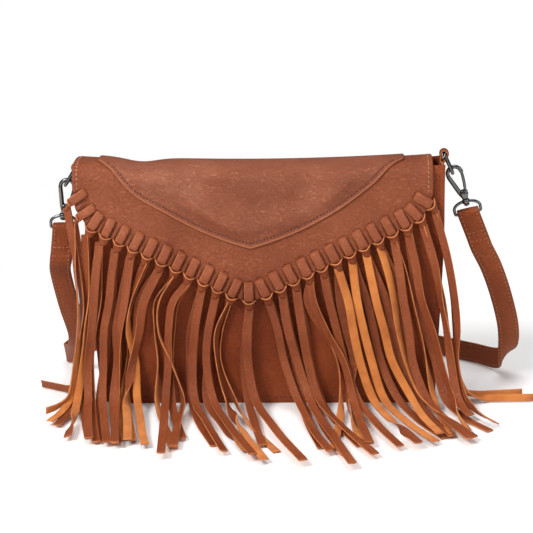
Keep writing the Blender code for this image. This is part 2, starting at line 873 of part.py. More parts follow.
def tail_route(start, lane, knee_x, end_x):
    """Centre line of one tail, its points at the same places of each lane's bend."""
    line = lane_line(lane, start.z)
    lengths = lengths_along(line)
    total = TAIL_LENGTH
    knee = max(start.z - LANE_BEND, 0.25 * total)
    start_shift = start.y - line[0].x
    spots = [
        Vector((0.0, start.x)),
        Vector((knee * 0.5, (start.x + knee_x) / 2.0 + (knee_x - start.x) * 0.06)),
        Vector((knee, knee_x)),
        Vector((knee + (total - knee) * 0.45, knee_x + (end_x - knee_x) * 0.42)),
        Vector((total, end_x)),
    ]
    across = curve_through(spots, 8)
    steps = 120
    stride = total / steps
    track = [Vector((0.0, start.x))]
    for index in range(1, steps + 1):
        x = value_at(across, index * stride)
        sideways = min(abs(x - track[-1].y), stride * 0.92)
        track.append(Vector((track[-1].x + math.sqrt(stride**2 - sideways**2), x)))
    bend_start = lengths[LANE_STEPS]
    bend_end = lengths[2 * LANE_STEPS]
    final = track[-1].x
    stations = [0.0, min(LANE_SETTLE, bend_start * 0.5)]
    stations.append(bend_start)
    stations += [bend_start + (bend_end - bend_start) * share for share in (0.33, 0.67)]
    stations += [bend_end, (bend_end + final) / 2.0, final]
    points = []
    for profile in stations:
        spot = point_at(line, lengths, profile)
        shift = start_shift * (1.0 - smooth_step(profile / LANE_SETTLE))
        points.append(Vector((value_at(track, profile), spot.x + shift, spot.y)))
    return points


def value_at(line, place):
    for first, second in zip(line, line[1:]):
        if second.x >= place:
            span = second.x - first.x
            return first.y + (second.y - first.y) * (place - first.x) / span
    return line[-1].y


def ribbon(name, route, widths, width, wall, material):
    """A flat strip swept along route, its width turned to the directions in widths."""
    bm = bmesh.new()
    rings = []
    last = len(route) - 1
    for index, point in enumerate(route):
        ahead = route[min(index + 1, last)]
        behind = route[max(index - 1, 0)]
        along = (ahead - behind).normalized()
        side = widths[index] - along * widths[index].dot(along)
        side.normalize()
        face = along.cross(side)
        ring = []
        for across, through in ((-1, -1), (1, -1), (1, 1), (-1, 1)):
            offset = side * (across * width / 2.0) + face * (through * wall / 2.0)
            ring.append(bm.verts.new(point + offset))
        rings.append(ring)
    for first, second in zip(rings, rings[1:]):
        for index in range(4):
            following = (index + 1) % 4
            bm.faces.new((first[index], first[following], second[following], second[index]))
    bm.faces.new(rings[0])
    bm.faces.new(rings[-1])
    return add_object(name, bm, material, 30.0)


def lace(number):
    material = strip_leather()
    frame = lace_frame(number)
    piece = band_loop(number, frame, material)
    piece = combine(piece, collar(frame, material), "UNION")
    top, drop = collar_axis(frame)
    neck = top + drop * 0.7
    for turn in (0, 1):
        knee_x, end_x = TAIL_SPREAD[number][turn]
        lane = number % 2 + 2 * turn
        start = neck + Vector((0.0, (0.5 - turn) * STRIP_WALL * 1.25, 0.0))
        route = tail_route(start, lane, knee_x / 1000.0, end_x / 1000.0)
        widths = [Vector((1.0, 0.0, 0.0))] * len(route)
        tail = ribbon("tail", route, widths, STRIP_WIDTH, STRIP_WALL, material)
        piece = combine(piece, tail, "UNION")
    return piece


def wire(name, points, radii, normal, sides, closed, material):
    """A round wire along a flat path, whose plane has the given normal."""
    bm = bmesh.new()
    rings = []
    count = len(points)
    for index, point in enumerate(points):
        if closed:
            ahead = points[(index + 1) % count]
            behind = points[index - 1]
        else:
            ahead = points[min(index + 1, count - 1)]
            behind = points[max(index - 1, 0)]
        forward = (ahead - point).normalized() if ahead != point else None
        rearward = (point - behind).normalized() if behind != point else None
        forward = forward or rearward
        rearward = rearward or forward
        along = (forward + rearward).normalized()
        side = normal.cross(along).normalized()
        widen = 1.0 / max(0.5, along.dot(forward))
        ring = []
        for step in range(sides):
            angle = 2.0 * math.pi * (step + 0.5) / sides
            offset = side * (math.cos(angle) * widen) + normal * math.sin(angle)
            ring.append(bm.verts.new(point + offset * radii[index]))
        rings.append(ring)
    pairs = list(zip(rings, rings[1:]))
    if closed:
        pairs.append((rings[-1], rings[0]))
    for first, second in pairs:
        for step in range(sides):
            following = (step + 1) % sides
            bm.faces.new((first[step], first[following], second[following], second[step]))
    if not closed:
        bm.faces.new(rings[0])
        bm.faces.new(rings[-1])
    return add_object(name, bm, material, 50.0)


def rod(name, start, end, radius, sides, material):
    """A straight round bar between two points."""
    along = end - start
    turn = along.to_track_quat("Z", "Y").to_matrix().to_4x4()
    turn.translation = (start + end) / 2.0
    bm = bmesh.new()
    bmesh.ops.create_cone(
        bm,
        cap_ends=True,
        segments=sides,
        radius1=radius,
        radius2=radius,
        depth=along.length,
        matrix=turn,
    )
    return add_object(name, bm, material, 50.0)


def slab(name, outline, normal, wall, material):
    """A flat plate with the given outline, its thickness shared to both sides."""
    bm = bmesh.new()
    near = [bm.verts.new(point - normal * (wall / 2.0)) for point in outline]
    far = [bm.verts.new(point + normal * (wall / 2.0)) for point in outline]
    bm.faces.new(near)
    bm.faces.new(far)
    for index in range(len(outline)):
        following = (index + 1) % len(outline)
        bm.faces.new((near[index], near[following], far[following], far[index]))
    return add_object(name, bm, material, 30.0)


def down_along(lean):
    return Vector((math.sin(lean), 0.0, -math.cos(lean)))


def eye_of_tab(end):
    return Vector(
        (
            end["side"] * (half_width(BODY_HEIGHT) + end["eye_out"]),
            0.0,
            BODY_HEIGHT + end["eye_up"],
        )
    )


def foot_of_ring(end):
    return eye_of_tab(end) + down_along(end["ring_lean"]) * (RING_LENGTH - 2.0 * RING_WIRE)


def hook_place(end):
    """Axes of a hook: x to the right, y up along it, z towards the front, eye's centre at 0."""
    hang = HOOK_EYE - HOOK_WIRE - RING_WIRE - SEAM_GAP
    lean = end["hook_lean"]
    down = down_along(lean)
    right = Vector((math.cos(lean), 0.0, math.sin(lean)))
    frame = Matrix((right, -down, ACROSS)).transposed().to_4x4()
    frame.translation = foot_of_ring(end) + (down + right * 0.6).normalized() * hang
    return frame


def collar_centre(end):
    drop = HOOK_LENGTH + PLAY + SWIVEL_COLLAR_LENGTH / 2.0
    return hook_place(end) @ Vector((0.0, -drop, 0.0))


def bar_centre(end):
    return collar_centre(end) + down_along(end["loop_lean"]) * LOOP_HEIGHT


def tab(end):
    """A strip folded over the ring and sewn inside the top of the gusset."""
    side = end["side"]
    hole = RING_WIRE + PLAY
    outside = hole + TAB_WALL
    eye = eye_of_tab(end)
    stem_wall = 2.0 * TAB_WALL
    stem_x = half_width(BODY_HEIGHT) - GUSSET_INSET - GUSSET_WALL - SEAM_GAP - stem_wall / 2.0
    stem_x -= (TOP_WIDTH - BASE_WIDTH) / 2.0 * TAB_TAIL / BODY_HEIGHT
    neck = Vector((side * stem_x, 0.0, BODY_HEIGHT + SEAM_GAP))
    foot = neck - Vector((0.0, 0.0, TAB_TAIL + SEAM_GAP))
    away = eye - neck
    reach = away.length
    bend = neck + Vector((0.0, 0.0, min(reach * 0.45, stem_wall * 0.9)))
    route = [foot, neck, bend, eye]
    widths = [Vector((0.0, 1.0, 0.0))] * 4
    name = "tab_" + end["name"]
    material = strap_leather()
    piece = ribbon(name, route, widths, TAB_WIDTH, stem_wall, material)
    half = Vector((0.0, TAB_WIDTH / 2.0, 0.0))
    roll = rod("roll", eye - half * 1.001, eye + half * 1.001, outside, 14, material)
    piece = combine(piece, roll, "UNION")
    bore = rod("bore", eye - half * 2.0, eye + half * 2.0, hole, 12, material)
    return combine(piece, bore, "DIFFERENCE")


def ring(end):
    """A rectangular ring with rounded corners, its top side in the tab."""
    top = eye_of_tab(end)
    down = down_along(end["ring_lean"])
    length = RING_LENGTH - 2.0 * RING_WIRE
    half = RING_WIDTH / 2.0 - RING_WIRE
    radius = RING_CORNER
    points = []
    for corner, (across, drop) in enumerate(((1, 1), (-1, 1), (-1, 0), (1, 0))):
        centre_y = across * (half - radius)
        centre_drop = length - radius if drop else radius
        for step in range(4):
            turn = 0.5 * math.pi * (corner + step / 3.0)
            y = centre_y + radius * math.cos(turn)
            fall = centre_drop + radius * math.sin(turn)
            points.append(top + Vector((0.0, y, 0.0)) + down * fall)
    normal = down.cross(Vector((0.0, 1.0, 0.0)))
    name = "ring_" + end["name"]
    piece = wire(name, points, [RING_WIRE] * len(points), normal, 6, True, gunmetal())
    set_origin(piece, top)
    return piece


def hook(end):
    """The eye and its back, the cheeks that hold the gate, and the swivel stem with its head."""
    frame = hook_place(end)
    material = gunmetal()
    base = -HOOK_LENGTH
    flat = [(-0.0002, base + 0.0016), (-0.0019, base + 0.0060), (-0.0038, -0.0080)]
    flat += [(-HOOK_EYE * 0.96, -0.0022)]
    radii = [HOOK_BACK, HOOK_BACK, HOOK_BACK * 0.96, HOOK_BACK * 0.92]
    turns = 7
    for step in range(turns):
        angle = math.pi * (1.0 - step / (turns - 1) * 1.02)
        flat.append((HOOK_EYE * math.cos(angle), HOOK_EYE * math.sin(angle)))
        radii.append(HOOK_WIRE)
    points = [frame @ Vector((x, y, 0.0)) for x, y in flat]
    piece = wire("hook_" + end["name"], points, radii, ACROSS, 8, False, material)
    cheek_out = GATE_PIN_OUT + GATE_BOSS
    top = -GATE_PIN_DROP + GATE_BOSS
    outline = [
        (-0.0026, top),
        (cheek_out, top),
        (cheek_out, -GATE_PIN_DROP - GATE_BOSS),
        (0.0022, base),
        (-0.0018, base),
    ]
    plate = [frame @ Vector((x, y, 0.0)) for x, y in outline]
    thick = GATE_WALL + 2.0 * (SEAM_GAP + CHEEK_WALL)
    piece = combine(piece, slab("cheeks", plate, ACROSS, thick, material), "UNION")
    reach = GATE_BOSS + SEAM_GAP
    slot = [
        (GATE_PIN_OUT - reach, -GATE_PIN_DROP - reach),
        (GATE_PIN_OUT + reach * 2.0, -GATE_PIN_DROP - reach),
        (GATE_PIN_OUT + reach * 2.0, top + reach),
        (GATE_PIN_OUT - reach, top + reach),
    ]
    hollow = [frame @ Vector((x, y, 0.0)) for x, y in slot]
    width = GATE_WALL + 2.0 * SEAM_GAP
    piece = combine(piece, slab("gate_slot", hollow, ACROSS, width, material), "DIFFERENCE")
    pin = frame @ Vector((GATE_PIN_OUT, -GATE_PIN_DROP, 0.0))
    half = ACROSS * (thick / 2.0 + 0.0002)
    piece = combine(piece, rod("pin", pin - half, pin + half, GATE_PIN, 8, material), "UNION")
    stem_end = base - SWIVEL_COLLAR_LENGTH - 2.0 * PLAY
    start = frame @ Vector((0.0, base + 0.0010, 0.0))
    end_point = frame @ Vector((0.0, stem_end - STEM_HEAD_LENGTH * 0.5, 0.0))
    stem = rod("stem", start, end_point, STEM_RADIUS, 10, material)
    piece = combine(piece, stem, "UNION")
    head_top = frame @ Vector((0.0, stem_end, 0.0))
    head_foot = frame @ Vector((0.0, stem_end - STEM_HEAD_LENGTH, 0.0))
    head = rod("head", head_top, head_foot, STEM_HEAD, 12, material)
    piece = combine(piece, head, "UNION")
    set_origin(piece, collar_centre(end))
    return piece


def gate(end):
    """The trigger: a boss that turns on the pin, and an arm that closes the eye."""
    frame = hook_place(end)
    material = gunmetal()
    pin = Vector((GATE_PIN_OUT, -GATE_PIN_DROP, 0.0))
    nose = Vector((HOOK_EYE * 0.985, -HOOK_WIRE * 0.25 - SEAM_GAP - GATE_WIRE, 0.0))
    along = (nose - pin).normalized()
    half = ACROSS * (GATE_WALL / 2.0)
    centre = frame @ pin
    piece = rod("gate_" + end["name"], centre - half, centre + half, GATE_BOSS, 12, material)
    start = frame @ (pin + along * (GATE_BOSS * 0.6))
    arm = rod("arm", start, frame @ nose, GATE_WIRE * 0.92, 8, material)
    piece = combine(piece, arm, "UNION")
    hole = rod("hole", centre - half * 3.0, centre + half * 3.0, GATE_PIN + SEAM_GAP, 10, material)
    piece = combine(piece, hole, "DIFFERENCE")
    set_origin(piece, centre)
    return piece


def swivel_loop(end):
    """A D-shaped loop: a straight bar for the strap, and a collar for the hook's stem."""
    name = "loop_" + end["name"]
    lean = end["loop_lean"]
    bar = bar_centre(end)
    right = Vector((math.cos(lean), 0.0, math.sin(lean)))
    up = -down_along(lean)
    half = STRAP_WIDTH / 2.0 + PLAY + LOOP_WIRE
    flat = [(-half, 0.0), (half, 0.0), (half, LOOP_SIDE)]
    arc = 8
    for step in range(1, arc):
        angle = math.pi * step / arc
        rise = LOOP_SIDE + (LOOP_HEIGHT - LOOP_SIDE) * math.sin(angle)
        flat.append((half * math.cos(angle), rise))
    flat.append((-half, LOOP_SIDE))
    points = [bar + right * x + up * y for x, y in flat]
    material = gunmetal()
    piece = wire(name, points, [LOOP_WIRE] * len(points), ACROSS, 6, True, material)
    centre = collar_centre(end)
    axis = down_along(end["hook_lean"]) * (SWIVEL_COLLAR_LENGTH / 2.0)
    sleeve = rod("sleeve", centre - axis, centre + axis, SWIVEL_COLLAR, 14, material)
    piece = combine(piece, sleeve, "UNION")
    bore_radius = STEM_RADIUS + SEAM_GAP
    bore = rod("bore", centre - axis * 2.0, centre + axis * 2.0, bore_radius, 12, material)
    piece = combine(piece, bore, "DIFFERENCE")
    set_origin(piece, bar)
    return piece


def turned_end(end):
    """The strap's end, from its turned tip at the back, over the bar and down the front."""
    bar = bar_centre(end)
    down = down_along(end["loop_lean"])
    fold = LOOP_WIRE + SEAM_GAP + STRAP_WALL / 2.0
    ply = (STRAP_WALL + SEAM_GAP) / 2.0
    line = []
    for drop, stand in ((STRAP_TURNED, ply), (STRAP_TURNED * 0.4, ply), (0.0, fold)):
        line.append(bar + down * drop - ACROSS * stand)
    for step in range(1, 6):
        turn = math.pi * step / 6
        line.append(bar - down * (fold * math.sin(turn)) - ACROSS * (fold * math.cos(turn)))
    for drop, stand in ((0.0, fold), (STRAP_TURNED * 0.4, ply)):
        line.append(bar + down * drop + ACROSS * stand)
    across = Vector((math.cos(end["loop_lean"]), 0.0, math.sin(end["loop_lean"])))
    return line, [across] * len(line)


def strap():
    first, first_widths = turned_end(RIGHT)
    last, last_widths = turned_end(LEFT)
    way = []
    for point, width in STRAP_WAY:
        way.append(Vector((point[0] * TOP_WIDTH, point[1] * BASE_DEPTH, point[2] * BODY_HEIGHT)))
    turns = [Vector(width).normalized() for point, width in STRAP_WAY]
    points = [first[-1]] + way + [last[-1]]
    widths = [first_widths[-1]] + turns + [-last_widths[-1]]
    steps = 2
    line = curve_through(points, steps)
    line_widths = curve_through(widths, steps)
    route = first[:-1] + line + last[-2::-1]
    route_widths = first_widths[:-1] + line_widths
    route_widths += [-width for width in last_widths[-2::-1]]
    piece = ribbon("strap", route, route_widths, STRAP_WIDTH, STRAP_WALL, strap_leather())
    piece.modifiers.new("flat_facets", "TRIANGULATE")
    return piece


def snap_disc(name, near, far, on_flap, material):
    """A flat disc that follows the panel or the flap, between two distances from it."""
    bm = bmesh.new()
    skins = []
    count = 12
    for stand in (near, far):
        rings = []
        for share in (0.0, 0.6, 1.0):
            ring = []
            for index in range(count if share else 1):
                angle = 2.0 * math.pi * index / count
                x = FLAP_TIP_X + SNAP_RADIUS * share * math.cos(angle)
                height = SNAP_HEIGHT + SNAP_RADIUS * share * math.sin(angle)
                if on_flap:
                    point = flap_point(x, height, -stand)
                else:
                    point = slouch((x, -front_line(x, height) - stand, height))
                ring.append(bm.verts.new(point))
            rings.append(ring)
        skins.append(rings)
    for rings in skins:
        for index in range(count):
            following = (index + 1) % count
            bm.faces.new((rings[0][0], rings[1][index], rings[1][following]))
            bm.faces.new(
                (rings[1][index], rings[2][index], rings[2][following], rings[1][following])
            )
    for index in range(count):
        following = (index + 1) % count
        near_rim, far_rim = skins[0][2], skins[1][2]
        bm.faces.new((near_rim[index], near_rim[following], far_rim[following], far_rim[index]))
    return add_object(name, bm, material)


def snap():
    metal = snap_metal()
    snap_disc("snap_socket", SEAM_GAP, SEAM_GAP + SNAP_SOCKET_WALL, False, metal)
    lining_room = FLAP_LINING_WALL + 2.0 * SEAM_GAP
    return snap_disc("snap_stud", lining_room, lining_room + SNAP_STUD_WALL, True, metal)


def build():
    clear_scene()
    side_panel("front_panel", -1.0, 15, 9)
    side_panel("back_panel", 1.0, 9, 7)
    gusset()
    lining()
    hinge_y, hinge_z = hinge_line()
    hinge = bpy.data.objects.new("flap_hinge", None)
    hinge.location = (FLAP_CENTRE_X, hinge_y, hinge_z)
    bpy.context.collection.objects.link(hinge)
    on_flap = [flap_border(), flap_yoke(), flap_lining()]
    on_flap += [snap()]
    for end in (LEFT, RIGHT):
        tab(end)
        ring(end)
        hook(end)
        gate(end)
        swivel_loop(end)
    strap()
    on_flap += [lace(number) for number in range(LACE_COUNT)]
    for item in on_flap:
        item.parent = hinge
        item.location = -hinge.location


build()
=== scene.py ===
import math
import random
import bmesh
import bpy
import numpy as np
from mathutils import Matrix, Vector


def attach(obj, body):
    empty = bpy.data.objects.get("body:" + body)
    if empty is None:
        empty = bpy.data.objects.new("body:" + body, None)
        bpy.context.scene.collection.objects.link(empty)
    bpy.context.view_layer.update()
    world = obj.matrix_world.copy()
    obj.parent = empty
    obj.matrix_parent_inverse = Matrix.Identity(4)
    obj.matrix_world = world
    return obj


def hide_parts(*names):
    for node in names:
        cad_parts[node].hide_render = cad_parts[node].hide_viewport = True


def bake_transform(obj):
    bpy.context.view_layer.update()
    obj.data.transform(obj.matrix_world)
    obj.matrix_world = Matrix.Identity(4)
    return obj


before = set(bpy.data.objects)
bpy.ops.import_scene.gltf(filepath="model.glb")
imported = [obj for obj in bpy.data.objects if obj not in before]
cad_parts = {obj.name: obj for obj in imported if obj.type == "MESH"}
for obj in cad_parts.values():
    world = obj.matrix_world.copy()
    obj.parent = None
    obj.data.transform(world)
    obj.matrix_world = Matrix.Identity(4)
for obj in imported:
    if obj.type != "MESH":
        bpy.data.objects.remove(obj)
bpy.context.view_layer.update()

# Camera: the bag seen from the front, a little from above, held slightly tilted
view = {
    "turn": math.radians(3.0),
    "height": math.radians(15.5),
    "roll": math.radians(1.2),
    "distance": 1.30,
    "lens": 109.8,
    "aim": (0.0, 0.0, 0.105),
}

back = Vector((
    math.sin(view["turn"]) * math.cos(view["height"]),
    -math.cos(view["turn"]) * math.cos(view["height"]),
    math.sin(view["height"]),
))
level = Vector((math.cos(view["turn"]), math.sin(view["turn"]), 0.0))
upright = back.cross(level)
right = level * math.cos(view["roll"]) - upright * math.sin(view["roll"])
up = back.cross(right)
eye = Vector(view["aim"]) + back * view["distance"]
camera = bpy.data.objects.new("camera", bpy.data.cameras.new("camera"))
camera.data.lens = view["lens"]
camera.data.sensor_width = 36.0
camera.data.sensor_fit = "AUTO"
camera.data.clip_end = 20.0
camera.matrix_world = Matrix((
    (right.x, up.x, back.x, eye.x),
    (right.y, up.y, back.y, eye.y),
    (right.z, up.z, back.z, eye.z),
    (0.0, 0.0, 0.0, 1.0),
))
bpy.context.scene.collection.objects.link(camera)
bpy.context.scene.camera = camera


# Helpers for shader nodes

def newMaterial(name):
    material = bpy.data.materials.new(name)
    material.use_nodes = True
    nodes = material.node_tree.nodes
    return material, nodes, material.node_tree.links, nodes["Principled BSDF"]


def addNode(nodes, kind, place=(0, 0), **values):
    node = nodes.new(kind)
    node.location = place
    for name, value in values.items():
        if name in node.inputs:
            node.inputs[name].default_value = value
        else:
            setattr(node, name, value)
    return node


def noise(nodes, links, where, scale, detail=3.0, roughness=0.5, stretch=None):
    node = addNode(nodes, "ShaderNodeTexNoise", Scale=scale, Detail=detail, Roughness=roughness)
    source = where
    if stretch:
        mapping = addNode(nodes, "ShaderNodeMapping")
        mapping.inputs["Scale"].default_value = stretch
        links.new(where, mapping.inputs["Vector"])
        source = mapping.outputs["Vector"]
    links.new(source, node.inputs["Vector"])
    return node.outputs["Fac"]


def ramp(nodes, links, source, stops):
    node = addNode(nodes, "ShaderNodeValToRGB")
    while len(node.color_ramp.elements) < len(stops):
        node.color_ramp.elements.new(0.5)
    for element, (position, colour) in zip(node.color_ramp.elements, stops):
        element.position = position
        element.color = (*colour, 1.0) if len(colour) == 3 else colour
    links.new(source, node.inputs["Fac"])
    return node.outputs["Color"]


def blendColours(nodes, links, factor, first, second, mode="MIX"):
    node = addNode(nodes, "ShaderNodeMix", data_type="RGBA", blend_type=mode)
    for socket, value in ((node.inputs[0], factor), (node.inputs[6], first), (node.inputs[7], second)):
        if hasattr(value, "is_output"):
            links.new(value, socket)
        elif isinstance(value, (int, float)):
            socket.default_value = value
        else:
            socket.default_value = (*value, 1.0)
    return node.outputs[2]


def calculate(nodes, links, operation, first, second=0.0, clamp=False):
    node = addNode(nodes, "ShaderNodeMath", operation=operation, use_clamp=clamp)
    for socket, value in zip(node.inputs, (first, second)):
        if hasattr(value, "is_output"):
            links.new(value, socket)
        else:
            socket.default_value = value
    return node.outputs[0]


def roughen(nodes, links, height, strength, depth, under=None):
    node = addNode(nodes, "ShaderNodeBump", Strength=strength, Distance=depth)
    links.new(height, node.inputs["Height"])
    if under:
        links.new(under, node.inputs["Normal"])
    return node.outputs["Normal"]


def lighten(nodes, links, mask, share, colour, other):
    return blendColours(nodes, links, calculate(nodes, links, "MULTIPLY", mask, share), colour, other)


# Grained leather: base colour and how far it wanders to dark and light, how fine the wrinkles and
# pebbles are and how deep, in metres
leathers = {
    "flapLeather": {
        "colour": (0.285, 0.069, 0.023), "dark": (0.180, 0.036, 0.009), "light": (0.42, 0.145, 0.078),
        "wrinkle": 520.0, "grain": 850.0, "grainDepth": 0.00022, "creaseDepth": 0.00060,
        "roughness": 0.47, "shine": 0.42,
    },
    "borderLeather": {
        "colour": (0.272, 0.063, 0.020), "dark": (0.190, 0.038, 0.010), "light": (0.36, 0.100, 0.040),
        "wrinkle": 500.0, "grain": 850.0, "grainDepth": 0.00022, "creaseDepth": 0.00060,
        "roughness": 0.48, "shine": 0.34,
    },
    "seamLeather": {
        "colour": (0.360, 0.110, 0.045), "dark": (0.280, 0.075, 0.026), "light": (0.44, 0.150, 0.070),
        "wrinkle": 500.0, "grain": 900.0, "grainDepth": 0.00010, "creaseDepth": 0.00020,
        "roughness": 0.50, "shine": 0.34,
    },
    "bodyLeather": {
        "colour": (0.235, 0.042, 0.0075), "dark": (0.150, 0.023, 0.004), "light": (0.31, 0.066, 0.015),
        "wrinkle": 480.0, "grain": 950.0, "grainDepth": 0.00014, "creaseDepth": 0.00030,
        "roughness": 0.48, "shine": 0.22,
    },
    "strapLeather": {
        "colour": (0.232, 0.047, 0.0095), "dark": (0.160, 0.028, 0.005), "light": (0.32, 0.082, 0.024),
        "wrinkle": 520.0, "grain": 1100.0, "grainDepth": 0.00014, "creaseDepth": 0.00030,
        "roughness": 0.46, "shine": 0.20,
    },
    "bandLeather": {
        "colour": (0.300, 0.072, 0.023), "dark": (0.200, 0.040, 0.010), "light": (0.42, 0.125, 0.050),
        "wrinkle": 560.0, "grain": 1200.0, "grainDepth": 0.00012, "creaseDepth": 0.00040,
        "roughness": 0.46, "shine": 0.34,
    },
    "stripLeather": {
        "colour": (0.262, 0.057, 0.0145), "dark": (0.165, 0.030, 0.007), "light": (0.37, 0.100, 0.032),
        "wrinkle": 560.0, "grain": 1200.0, "grainDepth": 0.00012, "creaseDepth": 0.00030,
        "roughness": 0.48, "shine": 0.28,
    },
}


def grainedLeather(name):
    look = leathers[name]
    material, nodes, links, shader = newMaterial(name)
    place = addNode(nodes, "ShaderNodeTexCoord").outputs["Object"]
    cloudy = noise(nodes, links, place, 16.0, 4.0, 0.55)
    patchy = noise(nodes, links, place, 70.0, 4.0, 0.6)
    streaky = noise(nodes, links, place, look["wrinkle"], 3.0, 0.6, stretch=(0.62, 1.0, 1.2))
    colour = ramp(nodes, links, cloudy, [(0.30, look["dark"]), (0.52, look["colour"]), (0.78, look["light"])])
    colour = lighten(nodes, links, patchy, 0.35, colour, look["light"])
    # pebbles with dark lines between them
    cells = addNode(nodes, "ShaderNodeTexVoronoi", feature="DISTANCE_TO_EDGE", Scale=look["grain"],
                    Randomness=1.0)
    bent = addNode(nodes, "ShaderNodeVectorMath", operation="MULTIPLY_ADD")
    wobble = addNode(nodes, "ShaderNodeTexNoise", Scale=240.0, Detail=2.0)
    links.new(place, wobble.inputs["Vector"])
    links.new(wobble.outputs["Color"], bent.inputs[0])
    bent.inputs[1].default_value = (0.0022, 0.0022, 0.0022)
    links.new(place, bent.inputs[2])
    links.new(bent.outputs["Vector"], cells.inputs["Vector"])
    pebble = calculate(nodes, links, "MULTIPLY", cells.outputs["Distance"], 5.0, clamp=True)
    greys = ((0.34, 0.1), (0.44, 0.7), (0.50, 0.35), (0.58, 0.9), (0.70, 1.0))
    crease = ramp(nodes, links, streaky, [(at, (grey, grey, grey)) for at, grey in greys])
    creased = roughen(nodes, links, crease, 1.0, look["creaseDepth"])
    links.new(roughen(nodes, links, pebble, 0.7, look["grainDepth"], creased), shader.inputs["Normal"])
    # painted shade: the colour is darkened half way to the dark tone in the wrinkle valleys, where the crease
    # bump is lowest
    creaseShade = calculate(nodes, links, "SUBTRACT", 1.0, crease, clamp=True)
    colour = lighten(nodes, links, creaseShade, 0.50, colour, look["dark"])
    links.new(colour, shader.inputs["Base Color"])
    rough = calculate(nodes, links, "MULTIPLY", patchy, 0.22)
    links.new(calculate(nodes, links, "ADD", rough, look["roughness"] - 0.10), shader.inputs["Roughness"])
    shader.inputs["Specular IOR Level"].default_value = look["shine"]
    return material


suedeLook = {"colour": (0.50, 0.155, 0.036), "dark": (0.31, 0.080, 0.016), "light": (0.66, 0.245, 0.068)}


def suede():
    material, nodes, links, shader = newMaterial("stripSuede")
    place = addNode(nodes, "ShaderNodeTexCoord").outputs["Object"]
    cloudy = noise(nodes, links, place, 45.0, 4.0, 0.6)
    nap = noise(nodes, links, place, 1500.0, 3.0, 0.7)
    stops = [(0.28, suedeLook["dark"]), (0.52, suedeLook["colour"]), (0.80, suedeLook["light"])]
    colour = lighten(nodes, links, nap, 0.25, ramp(nodes, links, cloudy, stops), suedeLook["light"])
    links.new(colour, shader.inputs["Base Color"])
    links.new(roughen(nodes, links, nap, 0.6, 0.0002), shader.inputs["Normal"])
    shader.inputs["Roughness"].default_value = 0.85
    shader.inputs["Specular IOR Level"].default_value = 0.2
    shader.inputs["Sheen Weight"].default_value = 0.25
    shader.inputs["Sheen Roughness"].default_value = 0.5
    shader.inputs["Sheen Tint"].default_value = (0.9, 0.6, 0.4, 1.0)
    return material


def plainFinish(name, colour, roughness, metallic=0.0, speckle=900.0, depth=0.00005, spread=0.15):
    material, nodes, links, shader = newMaterial(name)
    place = addNode(nodes, "ShaderNodeTexCoord").outputs["Object"]
    fine = noise(nodes, links, place, speckle, 3.0, 0.6)
    broad = noise(nodes, links, place, 120.0, 3.0, 0.5)
    darker = tuple(value * (1.0 - spread) for value in colour)
    lighter = tuple(min(1.0, value * (1.0 + spread)) for value in colour)
    links.new(ramp(nodes, links, broad, [(0.3, darker), (0.7, lighter)]), shader.inputs["Base Color"])
    shader.inputs["Metallic"].default_value = metallic
    worn = calculate(nodes, links, "MULTIPLY", broad, 0.15)
    links.new(calculate(nodes, links, "ADD", worn, roughness - 0.07), shader.inputs["Roughness"])
    links.new(roughen(nodes, links, fine, 0.4, depth), shader.inputs["Normal"])
    return material


def wovenCloth(name, colour):
    material, nodes, links, shader = newMaterial(name)
    place = addNode(nodes, "ShaderNodeTexCoord").outputs["Object"]
    threads = []
    for way in "XZ":
        wave = addNode(nodes, "ShaderNodeTexWave", wave_type="BANDS", bands_direction=way, Scale=420.0,
                       Distortion=0.4)
        links.new(place, wave.inputs["Vector"])
        threads.append(wave.outputs["Fac"])
    weave = calculate(nodes, links, "MULTIPLY", *threads)
    dark = tuple(value * 0.7 for value in colour)
    links.new(blendColours(nodes, links, weave, dark, colour), shader.inputs["Base Color"])
    links.new(roughen(nodes, links, weave, 0.5, 0.0002), shader.inputs["Normal"])
    shader.inputs["Roughness"].default_value = 0.9
    return material


flapFinish, borderFinish, seamFinish, bodyFinish, strapFinish, bandFinish, stripFinish = map(
    grainedLeather, leathers)
suedeFinish = suede()
edgeFinish = plainFinish("cutEdge", (0.46, 0.145, 0.040), 0.75, spread=0.3)
paleThread = plainFinish("paleThread", (0.46, 0.185, 0.090), 0.6, spread=0.25)
strapThread = plainFinish("strapThread", (0.340, 0.110, 0.042), 0.6, spread=0.3)
# pale rim colour: the cut edges of the bands and the collar lips, plus a painted highlight on each band's
# left shoulder
rimAndHighlightFinish = plainFinish("rimEdgeAndHighlight", (0.43, 0.135, 0.042), 0.6, spread=0.3)
# dark thread, also used as the painted shade of the needle holes
darkThreadAndHoleShade = plainFinish("darkThreadAndHoleShade", (0.10, 0.022, 0.010), 0.6, spread=0.3)
gunmetalFinish = plainFinish("gunmetal", (0.150, 0.148, 0.142), 0.22, 1.0, speckle=300.0,
                             depth=0.000004, spread=0.12)
snapFinish = plainFinish("snapMetal", (0.42, 0.33, 0.20), 0.34, 1.0)
liningFinish = wovenCloth("liningCloth", (0.16, 0.11, 0.075))
print("materials ready")


